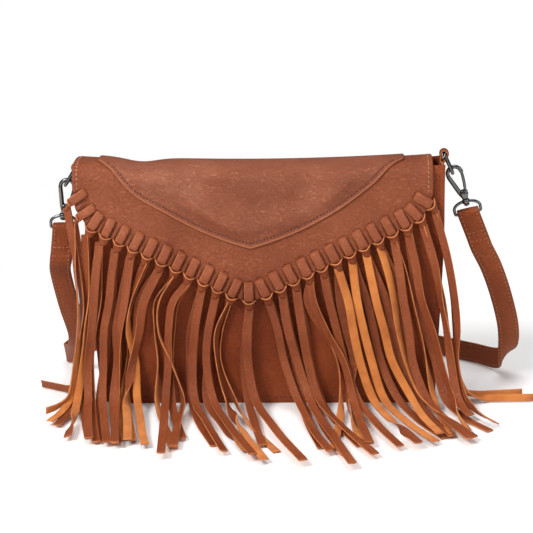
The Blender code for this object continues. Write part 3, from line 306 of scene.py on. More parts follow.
# The bag's shape, in metres: the same forms as the solids
bag = {
    "height": 0.186, "baseWidth": 0.266, "topWidth": 0.286, "baseDepth": 0.060, "mouthDepth": 0.038,
    "corner": 0.010, "wall": 0.0020, "bulge": 0.0020, "sag": 0.0050, "dip": 0.0035, "dipX": -0.098,
    "dipReach": 0.017, "sagStart": 0.120, "foldDepth": 0.0008, "foldPitch": 0.070, "foldTop": 0.150,
    "dentDepth": 0.0014, "dents": ((-0.052, 0.172, 0.022), (0.028, 0.176, 0.024), (0.070, 0.184, 0.020)),
    "gap": 0.0003, "gussetInset": 0.0008, "gussetWall": 0.0018, "gussetSink": 0.0011,
    "endX": 0.1210, "endRise": 0.0044, "endLean": 0.0022,
}
flap = {
    "centreX": -0.0088, "width": 0.2800, "tipX": -0.0123, "tipHeight": 0.0850, "slope": math.radians(26.3),
    "corner": 0.032, "tipRound": 0.012, "wall": 0.0015, "crest": 0.0078, "room": 0.0038, "yokeWall": 0.0015,
    "yokeX": -0.0105, "yokeHeight": 0.1284, "yokeSlope": 0.27, "yokeCurve": 2.9, "yokeReach": 0.120,
    "hinge": 0.0012, "bend": 0.015, "scallop": 0.0011,
}


def step(value):
    value = np.clip(value, 0.0, 1.0)
    return value * value * (3.0 - 2.0 * value)


def bump(distance, reach):
    return np.exp(-((distance / reach) ** 2))


def halfDepth(z):
    share = np.clip(z / bag["height"], 0.0, 1.1)
    return (bag["baseDepth"] + (bag["mouthDepth"] - bag["baseDepth"]) * share * share) / 2.0


def halfWidth(z):
    return (bag["baseWidth"] + (bag["topWidth"] - bag["baseWidth"]) * z / bag["height"]) / 2.0


def panelBulge(x, z):
    across = np.maximum(0.0, 1.0 - (x / halfWidth(z)) ** 2)
    share = np.clip(z / bag["height"], 0.0, 1.0)
    return bag["bulge"] * across * 4.0 * share * (1.0 - share)


def frontLine(x, z):
    return halfDepth(z) + panelBulge(x, z)


def slouch(x, y, z):
    sag = bag["sag"] * np.maximum(0.0, 1.0 - (2.0 * x / bag["topWidth"]) ** 2)
    sag = sag + bag["dip"] * bump(x - bag["dipX"], bag["dipReach"])
    lowered = z - sag * step((z - bag["sagStart"]) / (bag["height"] - bag["sagStart"]))
    atFront = step(-y / (bag["mouthDepth"] / 2.0))
    edge = step((halfWidth(z) - np.abs(x)) / (bag["topWidth"] / 8.0))
    foot = step(z / (bag["height"] / 5.0)) * step((bag["foldTop"] - z) / (bag["foldTop"] / 3.0))
    push = bag["foldDepth"] * np.sin(2.0 * math.pi * x / bag["foldPitch"]) * edge * foot
    for dentX, dentZ, reach in bag["dents"]:
        push = push + bag["dentDepth"] * bump(x - dentX, reach) * bump(z - dentZ, reach)
    return np.stack([x + 0.0 * z, y + push * atFront, lowered + 0.0 * x], axis=-1)


def standingEnd(points):
    # the right-hand end of the mouth stands up beside the flap and leans in
    x, z = points[..., 0], points[..., 2]
    rise = step((x - bag["endX"]) / 0.009) * step((z - 0.120) / (bag["height"] - 0.120))
    raised = points.copy()
    raised[..., 2] = z + bag["endRise"] * rise
    raised[..., 0] = x - bag["endLean"] * rise
    return raised


def curvePoint(before, start, end, after, t):
    return 0.5 * (2.0 * start + (end - before) * t
                  + (2.0 * before - 5.0 * start + 4.0 * end - after) * t * t
                  + (3.0 * start - before - 3.0 * end + after) * t ** 3)


def curveThrough(points, steps):
    line = []
    last = len(points) - 1
    for index in range(last):
        before, start = points[max(index - 1, 0)], points[index]
        end, after = points[index + 1], points[min(index + 2, last)]
        line += [curvePoint(before, start, end, after, part / steps) for part in range(steps)]
    return line + [points[-1]]


def lengthsAlong(points):
    return np.concatenate([[0.0], np.cumsum(np.linalg.norm(np.diff(points, axis=0), axis=1))])


def placeAt(distance, lengths, points):
    return np.array([np.interp(distance, lengths, points[:, k]) for k in range(3)])


def roundWay(sides):
    # the angles of a round section
    return np.linspace(0.0, 2.0 * math.pi, sides + 1)[:-1]


def flapProfile():
    hingeY = float(halfDepth(bag["height"])) + flap["hinge"]
    hingeZ = bag["height"] + flap["hinge"]
    front = float(halfDepth(bag["height"])) + flap["room"]
    crest = bag["height"] + flap["crest"]
    points = [
        np.array((hingeY, hingeZ)),
        np.array((hingeY * 0.62, (hingeZ + 3.0 * crest) / 4.0)),
        np.array((0.0, crest)),
        np.array((-front * 0.62, crest - 0.12 * flap["crest"])),
        np.array((-front * 0.96, bag["height"] + 0.25 * flap["crest"])),
    ]
    low = flap["tipHeight"] * 0.8
    high = bag["height"] - flap["crest"]
    for row in range(7):
        z = high + (low - high) * row / 6
        points.append(np.array((-(float(halfDepth(z)) + flap["room"]), z)))
    return np.array(curveThrough(points, 6))


profile = flapProfile()
profileLengths = lengthsAlong(profile)
flapReach = profileLengths[-1] + flap["tipHeight"] * 0.8


def alongProfile(distance):
    return (np.interp(distance, profileLengths, profile[:, 0]),
            np.interp(distance, profileLengths, profile[:, 1]))


def flapPoint(x, climb, lift):
    x, climb, lift = np.broadcast_arrays(*(np.asarray(value, float) for value in (x, climb, lift)))
    distance = flapReach - climb
    y, z = alongProfile(distance)
    aheadY, aheadZ = alongProfile(distance + 0.004)
    behindY, behindZ = alongProfile(distance - 0.004)
    dy, dz = aheadY - behindY, aheadZ - behindZ
    length = np.sqrt(dy * dy + dz * dz)
    y = y + dz / length * lift
    z = z - dy / length * lift
    return slouch(x, y - panelBulge(x, np.minimum(climb, bag["height"])), z)


def flapHalf(side):
    return flap["width"] / 2.0 + side * (flap["centreX"] - flap["tipX"])


def flapEdge(side, distance):
    slope, radius = flap["slope"], flap["corner"]
    turn = math.pi / 2.0 - slope
    straight = flapHalf(side) / math.cos(slope) - radius * math.tan(turn / 2.0)
    if distance <= straight:
        x, height, angle = distance * math.cos(slope), flap["tipHeight"] + distance * math.sin(slope), slope
    else:
        bend = min((distance - straight) / radius, turn)
        angle = slope + bend
        x = straight * math.cos(slope) + radius * (math.sin(angle) - math.sin(slope))
        height = flap["tipHeight"] + straight * math.sin(slope) + radius * (math.cos(slope) - math.cos(angle))
        height += max(0.0, distance - straight - radius * turn)
    return (flap["tipX"] + side * x, height), (side * math.sin(angle), -math.cos(angle))


def flapEdgeHeight(x):
    slope, radius = flap["slope"], flap["corner"]
    across = np.abs(x - flap["tipX"])
    reach = np.where(x >= flap["tipX"], flapHalf(1.0), flapHalf(-1.0))
    arcStart = reach - radius * (1.0 - math.sin(slope))
    bend = np.arcsin(np.clip((across - reach + radius) / radius, -1.0, 1.0))
    curved = flap["tipHeight"] + arcStart * math.tan(slope) + radius * (math.cos(slope) - np.cos(bend))
    height = np.where(across <= arcStart, flap["tipHeight"] + across * math.tan(slope), curved)
    near = np.maximum(0.0, flap["tipRound"] - across)
    return height + math.tan(slope) * near ** 2 / (2.0 * flap["tipRound"])


def yokeEdgeHeight(x):
    across = np.abs(x - flap["yokeX"])
    return flap["yokeHeight"] + flap["yokeSlope"] * across + flap["yokeCurve"] * across ** 2


# Mesh makers

# Sewing: how far in from the edge, from one stitch to the next, how long and how thick
sewing = {
    "inset": 0.0042, "panelPitch": 0.0036, "panelLength": 0.0026, "panelThread": 0.0007,
    "yokePitch": 0.0028, "yokeLength": 0.0016, "yokeThread": 0.0010,
    "sideInset": 0.0036, "pitch": 0.0036, "thread": 0.0008, "edgeLength": 0.0016, "edgeThread": 0.0007,
}


def makeObject(name, vertices, faces, materials, slots=None, smooth=True):
    mesh = bpy.data.meshes.new(name)
    mesh.from_pydata([tuple(v) for v in vertices], [], faces)
    for material in materials:
        mesh.materials.append(material)
    if slots is not None:
        mesh.polygons.foreach_set("material_index", slots)
    if smooth:
        mesh.shade_smooth()
    mesh.update()
    item = bpy.data.objects.new(name, mesh)
    bpy.context.scene.collection.objects.link(item)
    return item


def faceOutward(item):
    bm = bmesh.new()
    bm.from_mesh(item.data)
    bmesh.ops.recalc_face_normals(bm, faces=bm.faces)
    bm.to_mesh(item.data)
    bm.free()


def gridFaces(rows, columns, offset=0):
    faces = []
    for row in range(rows - 1):
        for column in range(columns - 1):
            a = offset + row * columns + column
            faces.append((a, a + 1, a + columns + 1, a + columns))
    return faces


def twoSkins(name, outer, inner, materials, edgeSlot=0):
    rows, columns = outer.shape[:2]
    count = rows * columns
    vertices = np.concatenate([outer.reshape(-1, 3), inner.reshape(-1, 3)])
    faces = gridFaces(rows, columns)
    faces += [tuple(reversed(face)) for face in gridFaces(rows, columns, count)]
    rim = [(0, c) for c in range(columns)] + [(r, columns - 1) for r in range(1, rows)]
    rim += [(rows - 1, c) for c in range(columns - 2, -1, -1)] + [(r, 0) for r in range(rows - 2, 0, -1)]
    both = len(faces)
    for index, (row, column) in enumerate(rim):
        nextRow, nextColumn = rim[(index + 1) % len(rim)]
        a, b = row * columns + column, nextRow * columns + nextColumn
        faces.append((b, a, a + count, b + count))
    slots = [0] * both + [edgeSlot] * (len(faces) - both)
    item = makeObject(name, vertices, faces, materials, slots)
    faceOutward(item)
    item.data.set_sharp_from_angle(angle=math.radians(50))
    return item


def sweep(name, sections, materials, slotOf=None, closed=False):
    vertices, faces, slots = [], [], []
    sides = len(sections[0])
    for section in sections:
        vertices += [tuple(p) for p in section]
    rings = len(sections)
    for ring in range(rings if closed else rings - 1):
        following = (ring + 1) % rings
        for side in range(sides):
            nextSide = (side + 1) % sides
            faces.append((ring * sides + side, ring * sides + nextSide,
                          following * sides + nextSide, following * sides + side))
            slots.append(slotOf(side) if slotOf else 0)
    if not closed:
        faces.append(tuple(range(sides)))
        faces.append(tuple(range((rings - 1) * sides, rings * sides)))
        slots += [len(materials) - 1] * 2
    item = makeObject(name, vertices, faces, materials, slots)
    faceOutward(item)
    return item


def joinInto(name, items):
    bpy.ops.object.select_all(action="DESELECT")
    for item in items:
        item.select_set(True)
    bpy.context.view_layer.objects.active = items[0]
    bpy.ops.object.join()
    items[0].name = name
    items[0].data.name = name
    return items[0]


def stitchRow(name, places, normals, length, width, material, body):
    vertices, faces = [], []
    profileAcross = ((-0.5, 0.0), (-0.3, 0.8), (0.3, 0.8), (0.5, 0.0))
    for (start, end), normal in zip(places, normals):
        start, end, normal = Vector(start), Vector(end), Vector(normal).normalized()
        along = (end - start).normalized()
        side = along.cross(normal).normalized()
        middle = (start + end) / 2.0
        base = len(vertices)
        for share, rise in ((-0.5, 0.1), (-0.32, 0.85), (0.0, 1.0), (0.32, 0.85), (0.5, 0.1)):
            for across, high in profileAcross:
                point = middle + along * (length * share) + side * (across * width)
                point += normal * ((high * rise - 0.25) * width * 0.7)
                vertices.append(tuple(point))
        for ring in range(4):
            for column in range(3):
                a = base + ring * 4 + column
                faces.append((a, a + 1, a + 5, a + 4))
    item = makeObject(name, vertices, faces, [material])
    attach(item, body)
    return item


def stitchesAlong(points, normals, pitch, gap):
    points = np.asarray(points, float)
    normals = np.asarray(normals, float)
    lengths = lengthsAlong(points)
    count = int(lengths[-1] / pitch)
    places, ups = [], []
    for index in range(count):
        a = (index + gap / 2.0) * lengths[-1] / count
        b = (index + 1.0 - gap / 2.0) * lengths[-1] / count
        places.append((placeAt(a, lengths, points), placeAt(b, lengths, points)))
        ups.append(placeAt((a + b) / 2.0, lengths, normals))
    return places, ups


def stitchLine(name, places, normals, pitch, width, thread, body):
    # pale thread, with short dark marks of painted shade at the needle holes between the stitches
    stitchRow(name, *stitchesAlong(places, normals, pitch, 0.30), pitch * 0.68, width, thread, body)
    points, normals = np.asarray(places), np.asarray(normals)
    lengths = lengthsAlong(points)
    count = int(lengths[-1] / pitch)
    ends, ups = [], []
    for index in range(1, count):
        middle = index * lengths[-1] / count
        ends.append([placeAt(middle + shift, lengths, points) for shift in (-pitch * 0.16, pitch * 0.16)])
        ups.append(placeAt(middle, lengths, normals))
    # painted shade: short dark marks stand where the needle holes are
    stitchRow(name + "_hole_shade", ends, ups, pitch * 0.34, width * 0.9, darkThreadAndHoleShade, body)


# Where each lace sits on the flap's edge, and how wide and thick its strip is
lacing = {
    "count": 27, "pitch": 0.01215, "tipRoom": 0.0030, "endRoom": 0.0010, "slotInset": 0.0118,
    "slotLength": 0.0068, "bandWidth": 0.0070, "mostTilt": math.radians(56),
    "stripWidth": 0.0062, "stripWall": 0.0011, "collarTall": 0.0075, "lip": 0.00060,
    "leftAside": 0.0036, "lanePitch": 0.0022, "laneRise": 0.0018, "laneBend": 0.034, "laneClear": 0.0026,
}


def laceFrame(number):
    middle = lacing["count"] // 2
    side = -1.0 if number < middle else 1.0
    distance = abs(number - middle) * lacing["pitch"] + lacing["tipRoom"]
    if number in (0, lacing["count"] - 1):
        distance += lacing["endRoom"]
    spot, outward = flapEdge(side, distance)
    if number == middle:
        outward = (0.0, -1.0)
        spot = (flap["tipX"], float(flapEdgeHeight(np.array(flap["tipX"]))))
    steep = math.atan2(outward[0], -outward[1])
    tilt = max(-lacing["mostTilt"], min(lacing["mostTilt"], steep))
    shift = lacing["slotLength"] / 2.0 * abs(math.sin(steep - tilt))
    spot = Vector((spot[0] + outward[0] * shift, spot[1] + outward[1] * shift))
    lift = flap["wall"] / 2.0
    upward = Vector((-math.sin(tilt), math.cos(tilt))) * lacing["slotInset"]
    beside = Vector((upward.y, -upward.x)) * (lacing["slotLength"] / lacing["slotInset"] / 2.0)
    centre = spot + upward / 2.0
    edge = Vector(flapPoint(spot.x, spot.y, lift))
    above = Vector(flapPoint(spot.x + upward.x, spot.y + upward.y, lift))
    left = Vector(flapPoint(centre.x - beside.x, centre.y - beside.y, lift))
    rightSide = Vector(flapPoint(centre.x + beside.x, centre.y + beside.y, lift))
    yAxis = (above - edge).normalized()
    zAxis = (rightSide - left).cross(yAxis).normalized()
    xAxis = yAxis.cross(zAxis)
    matrix = Matrix((xAxis, yAxis, zAxis)).transposed().to_4x4()
    matrix.translation = edge
    return matrix, spot, tilt


laceFrames = [laceFrame(number) for number in range(lacing["count"])]


def buildBody():
    rows, columns = 64, 110
    for name, side in (("front_panel", -1.0), ("back_panel", 1.0)):
        share = np.linspace(0.0, 1.0, rows) ** 1.25
        z = (share * bag["height"])[:, None]
        radius = bag["corner"]
        lift = np.minimum(z, radius)
        width = halfWidth(z) - (radius - np.sqrt(np.maximum(0.0, radius ** 2 - (radius - lift) ** 2)))
        spread = np.linspace(-1.0, 1.0, columns)
        spread = np.sign(spread) * (1.0 - (1.0 - np.abs(spread)) ** 1.15)
        x = width * spread[None, :]
        z = np.broadcast_to(z, x.shape)
        reach = frontLine(x, z)
        edgeX = np.clip((halfWidth(z) - np.abs(x)) / 0.0025, 0.0, 1.0)
        edgeZ = np.clip(np.minimum(z, bag["height"] - z) / 0.0025, 0.0, 1.0)
        tuck = 0.0009 * (1.0 - np.sqrt(np.clip(edgeX * edgeZ, 0.0, 1.0)))
        outer = standingEnd(slouch(x, side * (reach - tuck), z))
        inner = standingEnd(slouch(x, side * (reach - bag["wall"] + tuck * 0.4), z))
        panel = twoSkins(name + "_leather", outer, inner, [bodyFinish, seamFinish], 1)
        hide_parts(name)
        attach(panel, "bag")
        # seam stitches inside the edge
        inset = sewing["inset"]
        heights = np.linspace(0.180, 0.008, 60)
        path = [(-(halfWidth(h) - inset), h) for h in heights]
        path += [(value, inset + 0.001) for value in np.linspace(-0.120, 0.120, 90)]
        path += [(halfWidth(h) - inset, h) for h in heights[::-1]]
        px, pz = np.array([p[0] for p in path]), np.array([p[1] for p in path])
        places = standingEnd(slouch(px, side * (frontLine(px, pz) + 0.0001), pz))
        normals = np.tile((0.0, side, 0.0), (len(path), 1))
        stitchRow(name + "_stitches", *stitchesAlong(places, normals, sewing["panelPitch"], 0.28),
                  sewing["panelLength"], sewing["panelThread"], darkThreadAndHoleShade, "bag")
    # the gusset: one strip down the left side, under the base and up the right side
    top = bag["height"]

    def route(inset):
        radius = bag["corner"] - inset
        side = [(float(halfWidth(h)) - inset, h) for h in np.linspace(top, bag["corner"], 40)]
        centre = float(halfWidth(bag["corner"])) - inset - radius
        corner = [(centre + radius * math.cos(t), bag["corner"] - radius * math.sin(t))
                  for t in np.linspace(0, math.pi / 2, 9)[1:-1]]
        foot = [(value, inset) for value in np.linspace(centre, 0.0, 20)]
        rightSide = side + corner + foot
        return np.array([(-a, b) for a, b in rightSide] + rightSide[-2::-1])
    outside, inside = route(bag["gussetInset"]), route(bag["gussetInset"] + bag["gussetWall"])
    shares = np.linspace(-1.0, 1.0, 15)
    ends = bag["wall"] + bag["gap"]
    sink = bag["gussetSink"] * (1.0 - shares ** 2)[None, :]

    def skin(line):
        x, z = line[:, 0][:, None], line[:, 1][:, None]
        y = shares[None, :] * (halfDepth(z) - ends)
        inward = step((z - 0.02) / 0.05)
        x = x - np.sign(x) * sink * inward
        return standingEnd(slouch(x + 0.0 * y, y, z + 0.0 * y))

    gusset = twoSkins("gusset_leather", skin(outside), skin(inside), [bodyFinish, seamFinish], 1)
    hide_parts("gusset")
    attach(gusset, "bag")
    for node, finish in (("lining", liningFinish), ("snap_socket", snapFinish)):
        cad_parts[node].data.materials[0] = finish
    print("body ready")


def bendAtHinge(item):
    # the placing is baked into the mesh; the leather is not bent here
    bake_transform(item)


def flapSurface(name, node, heightAt, left, right, lift, wall, columns, rows, finish, rollWidth, rollRise,
                extra):
    places = (left + right) / 2.0 - (right - left) / 2.0 * np.cos(np.linspace(0.0, math.pi, columns))
    even = np.linspace(left, right, columns)
    x = 0.45 * places + 0.55 * even
    foot = heightAt(x)
    top = flapReach - bag["gap"]
    share = np.linspace(0.0, 1.0, rows) ** 1.5
    climb = foot[None, :] + (top - foot[None, :]) * share[:, None]
    xs = np.broadcast_to(x[None, :], climb.shape)
    inFromEdge = np.minimum(np.minimum(xs - left, right - xs), (climb - foot[None, :]) * 0.88)
    roll = np.clip(inFromEdge / rollWidth, 0.0, 1.0)
    edgeDrop = rollRise * (1.0 - np.sqrt(np.clip(1.0 - (1.0 - roll) ** 2, 0.0, 1.0)))
    outer = flapPoint(xs, climb, lift + wall - edgeDrop + extra(xs, climb))
    inner = flapPoint(xs, climb, lift)
    item = twoSkins(name, outer, inner, [finish])
    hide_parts(node)
    bendAtHinge(item)
    return item


def scallopedEdge(x):
    base = flapEdgeHeight(x)
    drop = np.zeros_like(x)
    spots = [f[1] for f in laceFrames]
    for first, second in zip(spots, spots[1:]):
        middle = (first.x + second.x) / 2.0
        reach = abs(second.x - first.x) * 0.30
        drop = np.maximum(drop, bump(x - middle, max(reach, 0.0022)))
    return base + flap["scallop"] * (0.35 - drop)


def puckers(x, climb):
    # the border is pressed in under each band and puffs up on both sides of it
    raised = np.zeros_like(x)
    for matrix, spot, tilt in laceFrames:
        upward = Vector((-math.sin(tilt), math.cos(tilt)))
        acrossWay = Vector((math.cos(tilt), math.sin(tilt)))
        along = (x - spot.x) * upward.x + (climb - spot.y) * upward.y
        across = (x - spot.x) * acrossWay.x + (climb - spot.y) * acrossWay.y
        pressed = bump(across, 0.0036) * step((0.0150 - along) / 0.004)
        raised = raised - 0.0006 * pressed
        beside = bump(across - 0.0060, 0.0022) + bump(across + 0.0060, 0.0022)
        raised = raised + 0.0009 * beside * step((0.0125 - along) / 0.007)
        raised = raised - 0.0012 * bump(across, 0.0030) * bump(along - 0.0135, 0.0011)
    return raised


# Soft folds of the yoke, each along a line: from x, height to x, height, how wide, how high
yokeFoldLines = (
    (-0.084, 0.194, -0.022, 0.141, 0.0100, 0.0056),
    (-0.060, 0.199, -0.010, 0.163, 0.0080, -0.0026),
    (0.012, 0.200, 0.019, 0.181, 0.0080, 0.0040),
    (0.036, 0.196, 0.041, 0.180, 0.0065, -0.0018),
    (0.062, 0.204, 0.054, 0.170, 0.0120, 0.0036),
    (-0.108, 0.206, -0.098, 0.190, 0.0080, 0.0018),
    (-0.004, 0.150, 0.036, 0.149, 0.0105, 0.0024),
)


def buildFlap():
    left = flap["tipX"] - flapHalf(-1.0)
    rightSide = flap["tipX"] + flapHalf(1.0)
    flapSurface("border_leather", "flap_border", scallopedEdge, left, rightSide, 0.0, flap["wall"], 420, 90,
                borderFinish, 0.0016, 0.0010, puckers)

    def yokeFolds(x, climb):
        inside = (climb - yokeEdgeHeight(x)) * 0.9
        stitched = -0.0003 * bump(inside - 0.0042, 0.0009)
        waves = np.sin(x * 95.0 + 3.0 * np.sin(climb * 60.0)) * np.sin(climb * 120.0 + x * 25.0)
        raised = 0.0003 * waves + 0.0022
        for x1, climb1, x2, climb2, reach, rise in yokeFoldLines:
            wayX, wayClimb = x2 - x1, climb2 - climb1
            along = (x - x1) * wayX + (climb - climb1) * wayClimb
            share = np.clip(along / (wayX ** 2 + wayClimb ** 2), 0.0, 1.0)
            away = np.hypot(x - x1 - share * wayX, climb - climb1 - share * wayClimb)
            raised = raised + rise * bump(away, reach)
        fade = step(inside / 0.016) * step((0.198 - climb) / 0.015)
        return stitched + np.maximum(raised, 0.0) * fade

    yokeLeft, yokeRight = flap["yokeX"] - flap["yokeReach"], flap["yokeX"] + flap["yokeReach"]
    flapSurface("yoke_leather", "flap_yoke", yokeEdgeHeight, yokeLeft, yokeRight,
                flap["wall"] + bag["gap"] * 0.4, flap["yokeWall"], 320, 110, flapFinish, 0.0012, 0.0008,
                yokeFolds)
    # the turned edge of the yoke, a little paler
    x = np.linspace(yokeLeft + 0.001, yokeRight - 0.001, 320)
    height = yokeEdgeHeight(x) + 0.0012
    seat = flapPoint(x, height, flap["wall"] + flap["yokeWall"] * 0.72)
    above = flapPoint(x, height, flap["wall"] + flap["yokeWall"] + 0.002)
    uphill = flapPoint(x, height + 0.001, flap["wall"] + flap["yokeWall"] * 0.72)
    rings = []
    for point, high, further in zip(seat, above, uphill):
        out = Vector(high - point).normalized()
        away = Vector(further - point).normalized()
        rings.append([Vector(point) + away * (0.0010 * math.cos(t)) + out * (0.0008 * math.sin(t))
                      for t in roundWay(10)])
    bead = sweep("yoke_turned_edge", rings, [seamFinish])
    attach(bead, "flap")
    # stitches inside the yoke's edge
    x = np.linspace(flap["yokeX"] - 0.112, flap["yokeX"] + 0.112, 400)
    climb = yokeEdgeHeight(x) + sewing["inset"] / 0.9
    lift = flap["wall"] + flap["yokeWall"]
    places = flapPoint(x, climb, lift + yokeFolds(x, climb) + 0.0004)
    above = flapPoint(x, climb, lift + 0.004)
    stitchRow("yoke_stitches", *stitchesAlong(places, above - places, sewing["yokePitch"], 0.30),
              sewing["yokeLength"], sewing["yokeThread"], darkThreadAndHoleShade, "flap")
    # stitches inside the flap's sides, in paler thread
    for side in (-1.0, 1.0):
        begin = (lacing["count"] // 2) * lacing["pitch"] + lacing["tipRoom"] + lacing["endRoom"] + 0.0080
        spots = []
        for distance in np.linspace(begin, begin + 0.12, 160):
            spot, outward = flapEdge(side, distance)
            if spot[1] < flapReach - 0.004:
                spots.append([spot[k] - outward[k] * sewing["sideInset"] for k in (0, 1)])
        xs, climbs = np.array([s[0] for s in spots]), np.array([s[1] for s in spots])
        places = flapPoint(xs, climbs, flap["wall"] + 0.0001)
        above = flapPoint(xs, climbs, flap["wall"] + 0.002)
        stitchLine("side_stitches_%d" % (side + 1), places, above - places, sewing["pitch"],
                   sewing["thread"], paleThread, "flap")
    # stitch dots between the bands
    places, ups = [], []
    for first, second in zip(laceFrames, laceFrames[1:]):
        for share in (0.38, 0.62):
            spot = first[1].lerp(second[1], share)
            tilt = (first[2] + second[2]) / 2.0
            point = spot + Vector((-math.sin(tilt), math.cos(tilt))) * 0.0034
            way = Vector((math.cos(tilt), math.sin(tilt))) * 0.0009
            lift = flap["wall"] + 0.0002
            places.append([flapPoint(*(point + way * end), lift) for end in (-1.0, 1.0)])
            ups.append(flapPoint(point.x, point.y, lift + 0.002) - flapPoint(point.x, point.y, lift))
    stitchRow("edge_stitches", places, ups, sewing["edgeLength"], sewing["edgeThread"], darkThreadAndHoleShade, "flap")
    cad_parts["flap_lining"].data.materials[0] = liningFinish
    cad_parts["snap_stud"].data.materials[0] = snapFinish
    print("flap ready")


# One row per lace, left to right, two tails each. First, in millimetres to the right of the
# middle: where the tail hangs at the three heights, at the foot of the bag, and the point on the
# floor where it ends. Then which side shows at the top, halfway, at the foot and at the end, in
# degrees of turn: 0 shows the grain, 180 the suede, 90 the edge.
tailHeights = (0.0871, 0.0628, 0.0382)
tailPlan = (
    (((-145, -147, -151, -156, -188, 7), (0, 60, 80, 80)),
     ((-144, -146, -150, -155, -166, -81), (10, 50, 160, 180))),
    (((-142, -144, -148, -152, -160, -85), (0, 0, 0, 0)),
     ((-147, -149, -152, -156, -172, -64), (60, 80, 80, 80))),
    (((-140, -142, -145, -145, -132, -108), (0, 0, 0, 0)),
     ((-139, -142, -145, -149, -147, -113), (35, 110, 170, 20))),
    (((-131, -135, -138, -138, -124, -120), (20, 70, 20, 0)),
     ((-134, -137, -141, -141, -129, -121), (0, -25, 20, 0))),
    (((-121, -125, -128, -132, -120, -114), (0, 0, 0, 0)),
     ((-122, -127, -129, -130, -115, -125), (0, 0, 0, 0))),
    (((-113, -118, -118, -121, -108, -123), (0, 10, 0, 0)),
     ((-110, -115, -117, -118, -109, -130), (0, 60, 0, 0))),
    (((-106, -111, -112, -113, -106, -112), (20, 60, 180, 180)),
     ((-106, -108, -103, -102, -86, -129), (60, 150, 180, 180))),
    (((-99, -102, -108, -110, -97, -117), (0, 20, 180, 180)),
     ((-95, -99, -105, -110, -100, -124), (0, -40, 175, 180))),
    (((-87, -88, -86, -86, -65, -128), (80, 85, 150, 180)),
     ((-83, -84, -75, -66, -65, -133), (80, 85, 40, 0))),
    (((-70, -74, -76, -75, -60, -113), (20, 30, 0, 0)),
     ((-72, -76, -77, -79, -72, -151), (30, 20, 0, 0))),
    (((-58, -59, -61, -59, -36, -124), (0, 0, 0, 0)),
     ((-55, -56, -58, -56, -26, -143), (0, 0, -15, -15))),
    (((-43, -44, -46, -47, -11, -137), (0, 0, 0, 170)),
     ((-45, -45, -47, -42, -5, -153), (0, 0, 0, 0))),
    (((-34, -35, -37, -25, 12, -136), (60, 70, 150, 180)),
     ((-37, -38, -38, -32, 4, -159), (-60, -75, 160, 180))),
    (((-14, -15, -17, -14, 1, -127), (0, 0, 0, 0)),
     ((-13, -14, -14, -9, 32, -165), (0, 0, 0, 0))),
    (((8, 12, 17, 27, 45, -129), (0, 0, 0, 0)),
     ((6, 10, 15, 24, 51, -143), (0, 0, 0, 0))),
    (((16, 19, 26, 35, 62, -147), (0, 0, 0, 0)),
     ((14, 18, 24, 34, 68, -171), (0, 0, 0, 0))),
    (((27, 31, 35, 44, 73, -125), (0, -60, 0, 0)),
     ((25, 29, 33, 41, 84, -149), (0, -20, -20, 0))),
    (((33, 44, 56, 59, 54, -133), (10, 75, 170, 180)),
     ((38, 48, 61, 68, 80, -130), (30, 40, 0, 0))),
    (((52, 58, 64, 68, 81, -119), (0, 0, 0, 0)),
     ((50, 56, 62, 71, 103, -134), (0, 0, 0, 0))),
    (((59, 64, 69, 64, 75, -117), (0, 0, 100, 180)),
     ((65, 69, 74, 83, 116, -132), (160, 180, 180, 0))),
    (((79, 84, 90, 104, 137, -109), (0, 0, 0, 0)),
     ((72, 77, 83, 92, 129, -124), (180, 180, 180, 180))),
    (((94, 99, 105, 118, 142, -109), (0, 0, 0, 0)),
     ((87, 93, 99, 113, 133, -113), (180, 180, 180, 180))),
    (((106, 109, 114, 120, 138, -107), (0, 0, 0, 0)),
     ((101, 104, 110, 122, 158, -116), (150, 120, 120, 0))),
    (((114, 120, 126, 132, 141, -107), (60, 60, 150, 180)),
     ((108, 112, 115, 125, 154, -123), (0, 0, 0, 0))),
    (((118, 124, 132, 140, 172, -95), (0, 0, 0, 0)),
     ((122, 130, 137, 146, 154, -98), (20, 40, 60, 150))),
    (((140, 143, 147, 154, 203, -19), (80, 85, 85, 85)),
     ((137, 142, 145, 149, 158, -75), (20, 60, 20, 0))),
    (((146, 148, 150, 160, 211, -30), (60, 80, 85, 85)),
     ((148, 150, 149, 155, 177, -87), (20, 30, 40, 150))),
)


def smoothPath(points, spacing):
    line = []
    last = len(points) - 1
    for index in range(last):
        p0, p1 = points[max(index - 1, 0)], points[index]
        p2, p3 = points[index + 1], points[min(index + 2, last)]
        t01 = max((p1 - p0).length, 1e-6) ** 0.5
        t12 = max((p2 - p1).length, 1e-6) ** 0.5
        t23 = max((p3 - p2).length, 1e-6) ** 0.5
        m1 = p2 - p1 + t12 * ((p1 - p0) / t01 - (p2 - p0) / (t01 + t12)) if index > 0 else p2 - p1
        m2 = p2 - p1 + t12 * ((p3 - p2) / t23 - (p3 - p1) / (t12 + t23)) if index < last - 1 else p2 - p1
        for part in range(16):
            t = part / 16
            a, b = p1 - p2, m1 + m2
            line.append(p1 + m1 * t + (-3 * a - 2 * m1 - m2) * t * t + (2 * a + b) * t ** 3)
    line.append(points[-1])
    lengths = [0.0]
    for first, second in zip(line, line[1:]):
        lengths.append(lengths[-1] + (second - first).length)
    count = max(8, int(lengths[-1] / spacing))
    places = np.linspace(0.0, lengths[-1], count + 1)
    flat = np.array([tuple(p) for p in line])
    return [Vector([float(np.interp(place, lengths, flat[:, k])) for k in range(3)]) for place in places]


